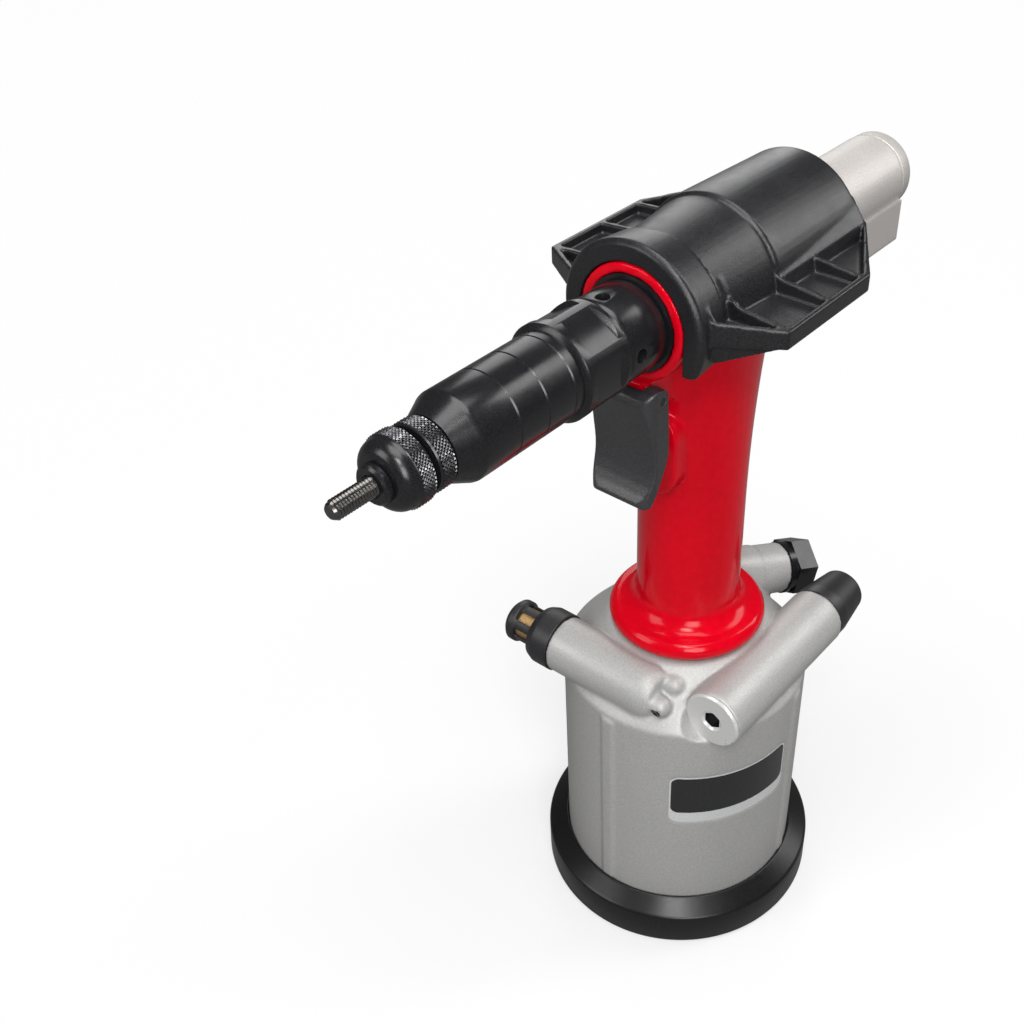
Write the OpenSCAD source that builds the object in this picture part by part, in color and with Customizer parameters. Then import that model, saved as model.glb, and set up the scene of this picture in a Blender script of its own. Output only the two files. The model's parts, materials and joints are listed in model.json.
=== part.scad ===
// Hydro-pneumatic rivet nut tool, standing on its round rubber foot.
// Millimetres. Origin at the centre of the foot's underside, Z up,
// the nose points along -X and the air motor lies along +X.

/* [Which piece] */
// name of the piece to draw, or all

/* [Fits] */
// radial clearance of a running shaft or piston
run = 0.05; // [0.02:0.01:0.1]
// radial clearance of two pieces screwed or pressed together
seat = 0.03; // [0.01:0.01:0.06]
// gap beside a piece that moves freely past another
free_gap = 0.3; // [0.2:0.05:0.5]

/* [Foot and air cylinder] */
// radius of the rubber foot
foot_r = 58.4; // [55:0.2:62]
// height of the foot's upright wall
foot_wall_h = 15.6; // [12:0.2:18]
// height of the foot's sloping lip
foot_h = 20.6; // [19:0.2:24]
// thickness of the foot's floor
foot_floor = 3; // [2:0.5:3.5]
// outer radius of the air cylinder
cyl_r = 49.4; // [48:0.2:52]
// thickness of the air cylinder's wall
cyl_wall = 5.4; // [4.5:0.2:6]
// height where the cylinder wall turns into the cone
cyl_top_z = 119.5; // [114:0.5:122]
// height of the cone above the cylinder wall
cone_h = 18.8; // [17:0.3:21]
// radius of the flat on top of the cone
shoulder_r = 31.5; // [30:0.5:34]
// thickness of metal above the air bore
roof_t = 9; // [7:0.5:12]
// how far the two cast ribs stand out of the wall
rib_h = 1; // [0.6:0.1:1.4]
// width of the cast ribs
rib_w = 5; // [3:0.5:7]
// directions of the cast ribs round the cylinder
rib_angles = [178.5, -80];
// direction where the label recess starts
label_angle = -151; // [-156:1:-146]
// angle that the label recess spans
label_span = 64; // [58:1:68]
// height of the label recess
label_h = 27; // [22:0.5:30]
// height of the label recess's lower edge
label_z = 68; // [60:1:76]
// depth of the label recess
label_deep = 0.5; // [0.3:0.1:0.8]
// corner radius of the label recess
label_corner = 4; // [3:0.5:5]

/* [Intensifier] */
// thickness of the plate that closes the cylinder
base_cover_t = 6.5; // [5:0.5:8]
// thickness of the spring ring that holds that plate
snap_t = 1.5; // [1.2:0.1:1.8]
// thickness of the air piston
piston_t = 14; // [12:0.5:16]
// thickness of the piston's rubber ring
piston_ring_t = 3.6; // [3:0.2:4]
// radius of the intensifier rod
rod_r = 6; // [5.5:0.1:6.5]
// length of the intensifier rod above the air piston
rod_len = 132; // [126:1:138]
// radius of the bush that guides the rod
bush_r = 13; // [12:0.2:14]
// radius of the rod seal
rod_seal_r = 11.5; // [11:0.1:12]
// thickness of the rod seal
rod_seal_t = 4; // [3:0.2:5]

/* [Valve tubes] */
// height of the tube axes above the cylinder wall
tube_rise = 7.5; // [6:0.5:9]
// how far the tube axes lie inside the cylinder wall
tube_in = 12.9; // [12:0.2:14]
// radius of the main valve tube
valve_tube_r = 12.2; // [11.8:0.1:12.8]
// front end of the main valve tube, short of the cylinder wall
valve_front_in = 16; // [15:0.2:18]
// rear end of the main valve tube, short of the cylinder wall
valve_rear_in = 8.2; // [7:0.2:10]
// radius of the main valve's bore
valve_bore_r = 8; // [7.6:0.1:8.4]
// radius of the plug at the front of the main valve
plug_r = 10; // [9.4:0.1:10.4]
// thickness of the plug
plug_t = 5.6; // [5:0.2:6.5]
// radius of the plug's visible face
plug_face_r = 11.7; // [11.2:0.1:12]
// width across the flats of the plug's key socket
plug_key = 6.4; // [5.6:0.2:7]
// depth of that socket
plug_key_deep = 3.8; // [3:0.1:4.4]
// length of the black cap on the main valve
valve_cap_len = 23; // [20:0.5:28]
// small end radius of that cap
valve_cap_tip_r = 9.4; // [8.6:0.2:10.4]
// how far a cap's spigot goes into its tube
spigot_len = 5; // [4:0.5:6]
// length of the valve spool
spool_len = 52; // [46:1:56]
// radius of the exhaust tube
exhaust_tube_r = 11.5; // [11:0.1:12]
// open end of the exhaust tube, short of the cylinder wall
exhaust_in = 14.8; // [13:0.2:16]
// closed end of the exhaust tube right of the middle
exhaust_near = 7; // [5:0.5:8]
// how far that end is domed
exhaust_dome = 7; // [5:0.5:8]
// radius of the exhaust bore
exhaust_bore_r = 7.5; // [7:0.1:8]
// length of the exhaust cap
exhaust_cap_len = 25; // [23:0.5:27]
// radius of the exhaust cap's collar and head
exhaust_cap_r = 12.1; // [11.8:0.1:12.6]
// radius of the waist between them
exhaust_waist_r = 7.8; // [7.6:0.1:8.2]
// length of the exhaust cap's collar
exhaust_collar = 12; // [10:0.5:14]
// thickness of the exhaust cap's head
exhaust_head = 5; // [4:0.5:6]
// radius of the exhaust cap's head
exhaust_head_r = 8.8; // [8.4:0.1:9.2]
// radius of the sintered silencer
silencer_r = 6.4; // [6:0.1:6.8]
// radius of the cast ear and knob on the closed end
boss_r = 4.2; // [3.8:0.1:4.6]
// how far ear and knob reach past the tube's straight part
boss_len = 10; // [8:0.5:11]
// distance of ear and knob from the tube axis
boss_off = 4.5; // [4:0.1:5]
// radius of the relief screw
relief_r = 1.9; // [1.5:0.1:2.2]
// radius of the air inlet tube
inlet_tube_r = 10.8; // [10.4:0.1:11.4]
// direction from the middle to the root of the inlet tube
inlet_side = 13; // [8:1:18]
// direction in which the inlet tube points
inlet_turn = -26; // [-30:1:-20]
// how far the inlet tube dips
inlet_dip = 12; // [8:1:14]
// root of the inlet tube, short of the cylinder wall
inlet_in = 17.8; // [17:0.2:19]
// height of that root above the other tube axes
inlet_rise = 5.7; // [5:0.1:6.4]
// length of the inlet tube
inlet_end = 32; // [30:0.5:35]
// wall at the closed end of the air passage
inlet_back = 6; // [4:0.5:8]
// radius of the air passage in the inlet tube
inlet_bore_r = 7; // [6.5:0.1:7.4]
// width across the flats of the inlet fitting
inlet_hex = 22.5; // [21:0.5:24]
// length of the inlet fitting outside the tube
inlet_len = 12; // [11:0.5:14]
// wall radius of the inlet's quarter inch pipe thread
inlet_thread_r = 5.72; // [5.6:0.01:5.9]

/* [Handle and trigger] */
// radius of the handle's flange
flange_r = 30.9; // [30:0.2:32]
// thickness of the flange's rim
flange_t = 8; // [6:0.5:9]
// radius of the sweep from flange to grip
flange_sweep = 9; // [7:0.5:10]
// radius of the grip
grip_r = 20.2; // [19.5:0.1:21]
// height where the grip starts to flare
flare_z = 196; // [186:1:206]
// how far the grip flares to the rear under the head
rear_flare = 22; // [16:1:26]
// how far the grip flares to the front under the head
front_flare = 9; // [6:0.5:12]
// radius of the oil chamber in the grip
oil_r = 9; // [8:0.2:10]
// top of the oil chamber below the head axis
oil_drop = 48; // [44:0.5:52]
// trigger pin below the head axis
pin_drop = 24.4; // [24:0.1:25]
// trigger pin ahead of the middle
pin_x = 37.4; // [36.6:0.1:38]
// radius of the trigger pin
pin_r = 1.3; // [1.2:0.1:1.6]
// half width of the lug that carries the pin
lug_half = 7; // [6:0.2:8]
// radius of the lug round the pin
lug_r = 3.6; // [3.4:0.1:3.8]
// half width of the trigger
trigger_half = 13; // [12:0.2:14]
// deepest point of the trigger's face ahead of the middle
trigger_face = 40.8; // [40.4:0.1:41.6]
// how far the face leans forward up to the pin
trigger_lean = 4.6; // [4:0.1:5.2]
// how far the lower end flicks forward
trigger_flick = 5; // [4:0.2:6]
// height of that flick
trigger_flick_h = 8; // [7:0.5:9]
// height of the deepest place of the trigger's face above its tip
trigger_dip = 15; // [13:0.5:17]
// thickness of the trigger's front wall
trigger_wall = 2.4; // [2:0.1:2.6]
// depth of the trigger from face to back edge
trigger_deep = 7.2; // [6.6:0.1:7.6]
// radius of the rounded upright edges of the trigger
trigger_round = 6; // [4:0.5:8]
// trigger's lower end below its pin
trigger_drop = 40.6; // [39:0.2:42]
// trigger's upper end above its pin
trigger_rise = 5; // [4.4:0.2:5.4]
// plunger below the trigger pin
plunger_drop = 24; // [23:0.2:25]
// radius of the trigger plunger
plunger_r = 3; // [2.6:0.1:3.4]
// length of the trigger plunger
plunger_len = 21; // [20:0.5:22]
// radius of the boss round the plunger
plunger_boss_r = 10; // [8:0.5:11]
// front of that boss ahead of the middle
plunger_boss_x = 26; // [25:0.5:27]
// how far the boss goes on below the plunger
plunger_boss_drop = 14; // [10:0.5:16]

/* [Head and cover] */
// height of the head axis
head_z = 284.4; // [282:0.3:288]
// outer radius of the head
head_r = 20; // [19.6:0.1:20.4]
// radius of the head's oil bore
head_bore_r = 16.5; // [16:0.1:16.8]
// front face of the head ahead of the middle
head_front = 38.5; // [37.5:0.5:40]
// rear face of the head behind the middle
head_rear = 56; // [54:0.5:58]
// outer radius of the cover's front arch
arch_r = 27.4; // [26.8:0.1:28]
// radius of the arch at its rear edge
arch_rear_r = 26.2; // [25.8:0.1:26.8]
// length of the front arch
arch_len = 15; // [12:0.5:17]
// how far the arch reaches below the head axis
arch_drop = 12; // [9:0.5:13]
// radius of the cover's waist behind the arch
waist_r = 24.4; // [24:0.1:25]
// length of the cone behind the waist
waist_len = 28.5; // [26:0.5:31]
// radius of the cover's rear shell where it begins
shell_r = 28; // [27.6:0.1:28.6]
// how much thinner the shell is at its rear end
shell_draft = 1.2; // [0.8:0.1:1.6]
// height of the step from the waist to the shell
shell_step = 1.2; // [0.8:0.1:1.6]
// rear end of the cover behind the head
cover_tail = 2.5; // [2:0.5:4]
// half width over the wings
wing_half = 47; // [44:0.5:50]
// front corner of a wing ahead of the middle
wing_front = 21; // [18:0.5:24]
// rear corner of a wing behind the middle
wing_rear = 28; // [25:0.5:32]
// front edge of the wings behind the arch's front
wing_set = 5; // [3:0.5:7]
// thickness of the wing's outer edge
wing_t = 6.4; // [5.6:0.2:7]
// underside of the wing's outer edge below the head axis
wing_low = 0.9; // [0:0.1:2]
// how far the keel under the wing lies lower than its edge
wing_sink = 7; // [5:0.5:8]
// how far that keel is set back from the wing's edge
keel_set = 2.4; // [1.6:0.2:3]
// half width of the leaning roof at its eaves
eave_half = 27.5; // [27.4:0.1:28]
// height of the eaves above the head axis
eave_rise = 7.2; // [7:0.1:8]
// half width of the roof's side walls at the pocket floor
roof_half = 28.8; // [28.4:0.1:29.6]
// height of the pocket floor above the head axis
pocket_rise = 2.2; // [1.8:0.1:2.6]
// thickness of the ribs and rims of the wings
wing_wall = 2.2; // [1.8:0.1:2.8]
// places of the ribs along the wing
wing_ribs = [-19.5, 4.6, 25];

/* [Traction gear] */
// front face of the traction piston ahead of the middle
traction_x = 4; // [3:0.5:5]
// thickness of the traction piston
traction_t = 12; // [11:0.5:13]
// radius of the traction rod
traction_rod_r = 7.5; // [7:0.1:8]
// radius of the piston's tail
tail_r = 5; // [4.6:0.1:5.4]
// length of the piston's tail
tail_len = 38; // [37:0.5:39]
// radius of the hole through piston and rod
traction_hole_r = 3.3; // [3.2:0.05:3.5]
// travel of the traction piston
traction_travel = 7; // [6:0.5:7.5]
// length of the front gland inside the head
gland_len = 16.5; // [14:0.5:18]
// how far the front gland stands out of the head
gland_proud = 0.5; // [0.3:0.1:0.8]
// radius of the threaded neck on the front gland
neck_r = 11; // [10.6:0.1:11.4]
// length of the neck inside the barrel
neck_in = 8; // [6:0.5:9]
// thickness of the rear gland
rear_gland_t = 6; // [5:0.5:6.5]
// wire radius of the return spring
spring_wire_r = 1.4; // [1.1:0.1:1.6]
// turns of the return spring
spring_turns = 6; // [5:1:7]

/* [Nose] */
// radius of the black collar
collar_r = 15; // [14.6:0.1:15.6]
// length of the black collar
collar_len = 18.5; // [17:0.5:20]
// radius of the pin spanner holes in the collar
spanner_r = 2.3; // [1.8:0.1:2.6]
// radius over the barrel's spanner section
flats_r = 16; // [15.6:0.1:16.6]
// width across the spanner flats
flats_af = 29; // [28.6:0.2:30]
// length of the spanner section
flats_len = 20; // [17:0.5:22]
// radius of the barrel
barrel_r = 14.2; // [13.8:0.1:14.6]
// length of the barrel's plain part
barrel_len = 41.5; // [39:0.5:44]
// length of the barrel's cone
barrel_cone = 7.5; // [6:0.5:9]
// radius at the front of the cone
barrel_tip_r = 10.5; // [10:0.1:11]
// distance between the thin grooves round the barrel
groove_pitch = 11.7; // [10.5:0.1:12.5]
// width of those grooves
groove_w = 0.6; // [0.4:0.1:1]
// radius of the barrel's inner bore
barrel_bore_r = 10; // [9.8:0.1:10.4]
// length of the barrel's front wall
barrel_wall = 14.5; // [13:0.5:15]
// radius of the knurled lock ring
lock_r = 11; // [10.6:0.1:11.6]
// width of the lock ring
lock_w = 6; // [5:0.5:7]
// gap between lock ring and anvil nut
lock_gap = 2; // [1.4:0.2:2.6]
// radius of the knurled anvil nut
anvil_r = 11.6; // [11.2:0.1:12]
// width of the anvil nut's knurl
anvil_w = 5; // [4:0.5:6]
// length of the anvil nut's dome
anvil_dome = 5.2; // [4.4:0.2:6]
// radius where the dome meets the tip
anvil_dome_r = 7.5; // [7:0.1:8]
// length of the anvil's tip
anvil_tip = 3.3; // [2.6:0.1:4]
// radius of the anvil's tip
anvil_tip_r = 6.6; // [6:0.1:6.9]
// radius of the anvil's screwed shank
shank_r = 6.5; // [6.2:0.1:6.8]
// radius of the mandrel, thread included
mandrel_r = 3; // [2.9:0.05:3.1]
// radius of the mandrel's waisted shank
mandrel_neck_r = 2.4; // [2.2:0.1:2.5]
// length of the mandrel in front of the anvil
mandrel_reach = 14; // [12:0.5:18]
// radius of the mandrel's head
mandrel_head_r = 5.9; // [5.6:0.1:6.1]
// length of the mandrel's head
mandrel_head_len = 20; // [19:0.5:21]
// radius of the sleeve that pulls the mandrel
holder_r = 9.6; // [9.2:0.1:9.7]
// thickness of that sleeve's front lip
holder_lip = 4; // [3:0.5:5]

/* [Air motor] */
// radius of the motor housing
motor_r = 15; // [14.8:0.1:15.4]
// length of the motor housing behind its flange
motor_len = 51; // [50:0.5:54]
// thickness of the motor's flange
motor_flange_t = 4; // [3.5:0.5:5]
// radius of the motor's flange
motor_flange_r = 19; // [18:0.2:19.4]
// half width of the block under the motor
block_half = 14.7; // [14:0.1:14.8]
// underside of the block below the head axis
block_drop = 23.4; // [21:0.2:25]
// length of the end cap
end_cap_len = 7.5; // [6:0.5:9]
// radius of the motor's inner bore
motor_bore_r = 13.4; // [13.2:0.1:13.5]
// tooth size of the planetary gears
gear_module = 0.44; // [0.42:0.01:0.45]
// width of the gears
gear_w = 5.6; // [5:0.2:6]
// radius of the rotor
rotor_r = 8.6; // [8.2:0.1:8.7]
// length of the rotor
rotor_len = 23.6; // [22:0.2:24]
// radius of the rotor shaft
rotor_shaft_r = 2.5; // [2.2:0.1:2.7]
// number of vanes
vane_count = 5; // [4:1:6]
// thickness of a vane
vane_t = 1.4; // [1.2:0.1:1.8]
// depth of a vane
vane_deep = 4.2; // [3.6:0.1:4.6]
// thickness of the motor's two end plates
plate_t = 4.5; // [4:0.5:5]
// width across the flats of the drive shaft
drive_hex = 5; // [4.6:0.1:5.2]

/* [Hidden] */
$fn = 96;
// a length that is longer than any piece, for cutting tools
far = 400;
// small overlap that joins the solids of one piece
bite = 0.5;
shoulder_z = cyl_top_z + cone_h;
tube_z = cyl_top_z + tube_rise;
tube_off = cyl_r - tube_in;
valve_front = cyl_r - valve_front_in;
valve_rear = cyl_r - valve_rear_in;
exhaust_end = cyl_r - exhaust_in;
pin_z = head_z - pin_drop;
bore_r = cyl_r - cyl_wall;
bore_top = cyl_top_z - roof_t;
cover_z = foot_floor + 1 + snap_t;
piston_z = cover_z + base_cover_t + 1;
rod_base = piston_z + piston_t;
ring_groove = piston_ring_t - 0.6;
rod_eye_r = rod_r * 0.6;
nut_t = 6;
flange_z = shoulder_z + flange_t;
grip_top = head_z - 5;
oil_top = head_z - oil_drop;
valve_end_x = -valve_front - 1;
plunger_z = pin_z - plunger_drop;
pad_x = trigger_face - trigger_wall;
plunger_front = pad_x - free_gap;
plunger_back = plunger_front - plunger_len;
plunger_stop = oil_r + 2.6;
gland_front = head_front + gland_proud;
collar_end = gland_front + collar_len;
flats_end = collar_end + flats_len;
barrel_end = flats_end + barrel_len;
cone_end = barrel_end + barrel_cone;
lock_end = cone_end + free_gap + lock_w;
knurl_start = lock_end + lock_gap;
knurl_end = knurl_start + anvil_w;
anvil_dome_end = knurl_end + anvil_dome;
anvil_end = anvil_dome_end + anvil_tip;
mandrel_end = anvil_end + mandrel_reach;
// length of the sleeve's grip on the traction rod
sleeve_grip = 6;
// room behind the mandrel's head inside the sleeve
head_room = 4;
rod_front = collar_end + neck_in + traction_travel + bite + sleeve_grip;
head_seat = rod_front + head_room + mandrel_head_len;
sleeve_end = head_seat + holder_lip;
socket_deep = traction_travel + 9;
drive_front = head_seat - mandrel_head_len + 8;
drive_socket = drive_hex + 0.24;
traction_back = traction_t - traction_x;
tail_end = traction_back + tail_len;
motor_front = head_rear;
gland_back = motor_front - 6;
gland_face = gland_back - rear_gland_t;
motor_x = motor_front + motor_flange_t;
motor_end = motor_x + motor_len;
hub_x = tail_end + traction_travel + 1;
gear_x = motor_x + 3;
gear_end = gear_x + gear_w;
plate_x = gear_end + 1;
liner_x = plate_x + plate_t;
liner_end = liner_x + rotor_len + 0.4;
rear_plate_end = liner_end + plate_t;
// teeth on the sun pinion and on each planet
planet_teeth = 18;
ring_teeth = 3 * planet_teeth;
pitch_r = gear_module * planet_teeth / 2;
planet_orbit = 2 * pitch_r;
planet_pin_r = 1.2;
pressure_angle = 20;
tooth_play = 0.05;
carrier_r = planet_orbit + planet_pin_r + 1.2;
cover_front = head_front;
cover_end = head_rear + cover_tail;
shell_x = arch_len + waist_len - cover_front;
cover_bore_r = head_r + free_gap;
liner_r = rotor_r + 1.4;
liner_shift = liner_r - rotor_r - 0.2;

// rotate what is drawn up the Z axis so that it runs forward along the nose
module to_nose() {
  translate([0, 0, head_z])
    rotate([0, -90, 0])
      children();
}

// rotate what is drawn up the Z axis so that it runs back along the motor
module to_motor() {
  translate([0, 0, head_z])
    rotate([0, 90, 0])
      children();
}

// a round rod from one distance to another up the Z axis
module rod(radius, from, to) {
  translate([0, 0, from])
    cylinder(r = radius, h = to - from);
}

// a hexagonal rod given by its width across the flats
module hex_rod(width, from, to) {
  translate([0, 0, from])
    cylinder(r = width / sqrt(3), h = to - from, $fn = 6);
}

// a flat ring
module tube(outer, inner, from, to) {
  difference() {
    rod(outer, from, to);
    rod(inner, from - 1, to + 1);
  }
}

// points of one involute flank, measured from the base circle outward
function flank(base, tip, steps) = [
  for (i = [0 : steps])
    let (r = base + (tip - base) * i / steps)
    let (a = acos(base / r))
    [r, tan(a) * 180 / PI - a]
];

// outline of a gear: each tooth has two involute flanks and a root land
function gear_points(teeth, tip, root, play) =
  let (pitch = gear_module * teeth / 2)
  let (base = pitch * cos(pressure_angle))
  let (at_pitch = tan(pressure_angle) * 180 / PI - pressure_angle)
  let (half = 90 / teeth + at_pitch - play / pitch * 180 / PI)
  let (low = max(base, root))
  let (side = flank(base, tip, 5))
  let (up = [for (p = side) if (p[0] >= low) p])
  [for (t = [0 : teeth - 1])
    let (mid = t * 360 / teeth)
    each concat(
      [[root * cos(mid - half - 0.2), root * sin(mid - half - 0.2)]],
      [for (p = up) [p[0] * cos(mid - half + p[1]), p[0] * sin(mid - half + p[1])]],
      [for (i = [len(up) - 1 : -1 : 0])
        [up[i][0] * cos(mid + half - up[i][1]), up[i][0] * sin(mid + half - up[i][1])]],
      [[root * cos(mid + half + 0.2), root * sin(mid + half + 0.2)]])];

// points of a coil spring's tube, one ring of points after another
coil_sides = 8;
coil_steps = 16;
function coil_points(radius, wire, turns, length) = [
  for (i = [0 : turns * coil_steps])
    let (turn = 360 * i / coil_steps)
    let (z = wire + (length - 2 * wire) * i / (turns * coil_steps))
    for (j = [0 : coil_sides - 1])
      let (out = radius + wire * cos(360 * j / coil_sides))
      [out * cos(turn), out * sin(turn), z + wire * sin(360 * j / coil_sides)]
];

// faces that join the rings of points of a sweep with closed ends
function sweep_faces(rings, sides) = concat(
  [[for (j = [0 : sides - 1]) j]],
  [for (i = [0 : rings - 2])
    for (j = [0 : sides - 1])
      each [
        [i * sides + j, (i + 1) * sides + j, (i + 1) * sides + (j + 1) % sides],
        [i * sides + j, (i + 1) * sides + (j + 1) % sides, i * sides + (j + 1) % sides]]],
  [[for (j = [sides - 1 : -1 : 0]) (rings - 1) * sides + j]]);

// a coil spring that stands on Z = 0
module coil(radius, wire, turns, length) {
  polyhedron(coil_points(radius, wire, turns, length),
    sweep_faces(turns * coil_steps + 1, coil_sides), convexity = 10);
}

// rubber foot: a cup that the cylinder stands in
module foot_ring() {
  color([0.09, 0.09, 0.1])
    rotate_extrude()
      polygon([[0, 0], [foot_r - 2, 0], [foot_r, 2], [foot_r, foot_wall_h],
        [foot_r - 1.5, foot_wall_h + 1.2], [cyl_r + 2, foot_h], [cyl_r + free_gap, foot_h],
        [cyl_r + free_gap, foot_floor], [0, foot_floor]]);
}

// outside of the cylinder with its cone
module cylinder_body() {
  rotate_extrude()
    polygon([[0, foot_floor], [cyl_r, foot_floor], [cyl_r, cyl_top_z - 1.5],
      [cyl_r - 1.2, cyl_top_z], [shoulder_r + 1, shoulder_z - 1], [shoulder_r - 0.5, shoulder_z],
      [0, shoulder_z]]);
}

// turn what is drawn up Z so that it lies along the main valve tube, rearward
module on_valve() {
  translate([0, -tube_off, tube_z])
    rotate([0, 90, 0])
      children();
}

// turn what is drawn up Z so that it lies along the exhaust tube, to the left
module on_exhaust() {
  translate([-tube_off + 1, 0, tube_z])
    rotate([-90, 0, 0])
      children();
}

// turn what is drawn up Z so that it lies along the inlet tube, to its open end
module on_inlet() {
  rotate([0, 0, inlet_side])
    translate([cyl_r - inlet_in, 0, tube_z + inlet_rise])
      rotate([0, 90 + inlet_dip, inlet_turn - inlet_side])
        children();
}

// cast cylinder: wall, cone, three valve tubes, ribs and label recess in one piece
module air_cylinder() {
  color([0.72, 0.73, 0.74])
    difference() {
      union() {
        cylinder_body();
        on_valve() rod(valve_tube_r, -valve_front, valve_rear);
        on_exhaust() exhaust_body();
        on_inlet() inlet_body();
        for (a = rib_angles)
          rotate([0, 0, a])
            translate([cyl_r - 2, -rib_w / 2, foot_h + free_gap])
              cube([2 + rib_h, rib_w, cyl_top_z - foot_h - 4]);
      }
      rod(bore_r, 0, bore_top);
      rod(bore_r + 1.5, foot_floor + 1, foot_floor + 1 + snap_t);
      rod(bush_r, bore_top - 1, shoulder_z + 1);
      on_valve() valve_cavity();
      on_exhaust() rod(exhaust_bore_r, exhaust_near, far);
      on_exhaust() rod(exhaust_cap_r + free_gap, exhaust_end, far);
      on_valve() rod(valve_tube_r + free_gap, valve_rear, far);
      on_inlet() rod(inlet_bore_r, inlet_back, far);
      rod(flange_r + free_gap, shoulder_z, far);
      relief_place() rod(relief_r + run + seat, -3, far);
      intersection() {
        tube(cyl_r + 2 * rib_h, cyl_r - label_deep, label_z - 1, label_z + label_h + 1);
        rotate([0, 0, label_angle + label_span / 2])
          rotate([90, 0, 90])
            linear_extrude(height = far)
              label_outline();
      }
    }
}

// outline of the label recess, a rectangle with round corners
module label_outline() {
  half = cyl_r * sin(label_span / 2);
  translate([label_corner - half, label_z]) square([2 * (half - label_corner), label_h]);
  translate([-half, label_z + label_corner]) square([2 * half, label_h - 2 * label_corner]);
  for (x = [label_corner - half, half - label_corner])
    for (z = [label_z + label_corner, label_z + label_h - label_corner])
      translate([x, z]) circle(r = label_corner);
}

// exhaust tube with its domed closed end, a cast ear behind and a knob in front
module exhaust_body() {
  rod(exhaust_tube_r, -exhaust_near, exhaust_end);
  translate([0, 0, -exhaust_near])
    intersection() {
      sphere(r = exhaust_tube_r);
      translate([0, 0, -exhaust_dome / 2]) cube([far, far, exhaust_dome], center = true);
    }
  translate([boss_off, -boss_off, 0]) boss();
  translate([-boss_off, 0, 0]) boss();
}

// small round-ended boss
module boss() {
  rod(boss_r, -exhaust_near - boss_len, 0);
  translate([0, 0, -exhaust_near - boss_len]) sphere(r = boss_r);
}

// inlet tube with a rounded closed end
module inlet_body() {
  rod(inlet_tube_r, 0, inlet_end);
  rod(inlet_tube_r + 0.5, 0, inlet_end * 0.55);
  sphere(r = inlet_tube_r);
}

// bore of the main valve, the seat of its plug and the clear way in front
module valve_cavity() {
  rod(valve_bore_r, -valve_front - 1, far);
  rod(plug_r + seat, -far, plug_t + valve_end_x);
  rod(plug_face_r + free_gap, -far, -valve_front);
}

// seat of the relief screw in the front of the knob
module relief_place() {
  translate([-tube_off + 1 - boss_off, -exhaust_near - boss_len, tube_z])
    rotate([0, -110, 0])
      translate([0, 0, boss_r - 1])
        children();
}

// plate that closes the cylinder from below
module base_cover() {
  color([0.6, 0.61, 0.62])
    difference() {
      rod(bore_r - seat, cover_z, cover_z + base_cover_t);
      rod(nut_t * 2.2, piston_z - nut_t, cover_z + base_cover_t + 1);
    }
}

// spring ring in the groove under the base plate, open at one side
module base_snap_ring() {
  color([0.3, 0.3, 0.32])
    difference() {
      tube(bore_r + 1.2, bore_r - 4, cover_z - snap_t, cover_z);
      translate([0, -bore_r / 6, 0]) cube([far, bore_r / 3, far]);
    }
}

// air piston with a groove for its ring
module air_piston() {
  color([0.7, 0.71, 0.72])
    difference() {
      rod(bore_r - run, piston_z, rod_base);
      tube(far, bore_r - ring_groove, rod_base - piston_t / 2 - piston_ring_t / 2 - run,
        rod_base - piston_t / 2 + piston_ring_t / 2 + run);
      rod(rod_eye_r + seat, 0, far);
    }
}

// rubber ring of the air piston
module air_piston_ring() {
  color([0.08, 0.08, 0.08])
    tube(bore_r - run, bore_r - ring_groove + run, rod_base - piston_t / 2 - piston_ring_t / 2,
      rod_base - piston_t / 2 + piston_ring_t / 2);
}

// rod that presses into the oil in the grip
module intensifier_rod() {
  color([0.62, 0.63, 0.65])
    rotate_extrude()
      polygon([[0, piston_z - nut_t + 0.5], [rod_eye_r, piston_z - nut_t + 0.5],
        [rod_eye_r, rod_base], [rod_r, rod_base], [rod_r, rod_base + rod_len - 1],
        [rod_r - 1, rod_base + rod_len], [0, rod_base + rod_len]]);
}

// nut that holds the air piston on the rod
module rod_nut() {
  color([0.5, 0.5, 0.52])
    difference() {
      hex_rod(rod_r * 2 + 1, piston_z - nut_t + 1, piston_z);
      rod(rod_eye_r + seat, 0, far);
    }
}

// bush in the roof of the air cylinder
module rod_bush() {
  color([0.72, 0.55, 0.25])
    tube(bush_r - seat, rod_r + run, bore_top, shoulder_z);
}

// seal in the foot of the grip
module rod_seal() {
  color([0.1, 0.1, 0.1])
    tube(rod_seal_r - seat, rod_r + run, shoulder_z, shoulder_z + rod_seal_t);
}

// plug with a hexagonal key socket in the front of the main valve
module valve_plug() {
  color([0.8, 0.81, 0.82])
    on_valve()
      difference() {
        rotate_extrude()
          polygon([[0, valve_end_x + 0.8], [plug_key * 0.58, valve_end_x + 0.8],
            [plug_key * 0.58 + 0.8, valve_end_x], [plug_face_r - 0.7, valve_end_x],
            [plug_face_r, valve_end_x + 0.7],
            [plug_face_r, -valve_front], [plug_r, -valve_front],
            [plug_r, valve_end_x + plug_t], [0, valve_end_x + plug_t]]);
        hex_rod(plug_key, valve_end_x - 1, valve_end_x + plug_key_deep);
      }
}

// tapered black cap at the rear of the main valve
module valve_cap() {
  color([0.09, 0.09, 0.1])
    on_valve()
      rotate_extrude()
        polygon([[0, valve_rear - spigot_len], [valve_bore_r - seat, valve_rear - spigot_len],
          [valve_bore_r - seat, valve_rear], [valve_tube_r - 0.4, valve_rear],
          [valve_tube_r - 0.4, valve_rear + 5], [valve_cap_tip_r, valve_rear + valve_cap_len - 2],
          [valve_cap_tip_r - 2, valve_rear + valve_cap_len], [0, valve_rear + valve_cap_len]]);
}

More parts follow.
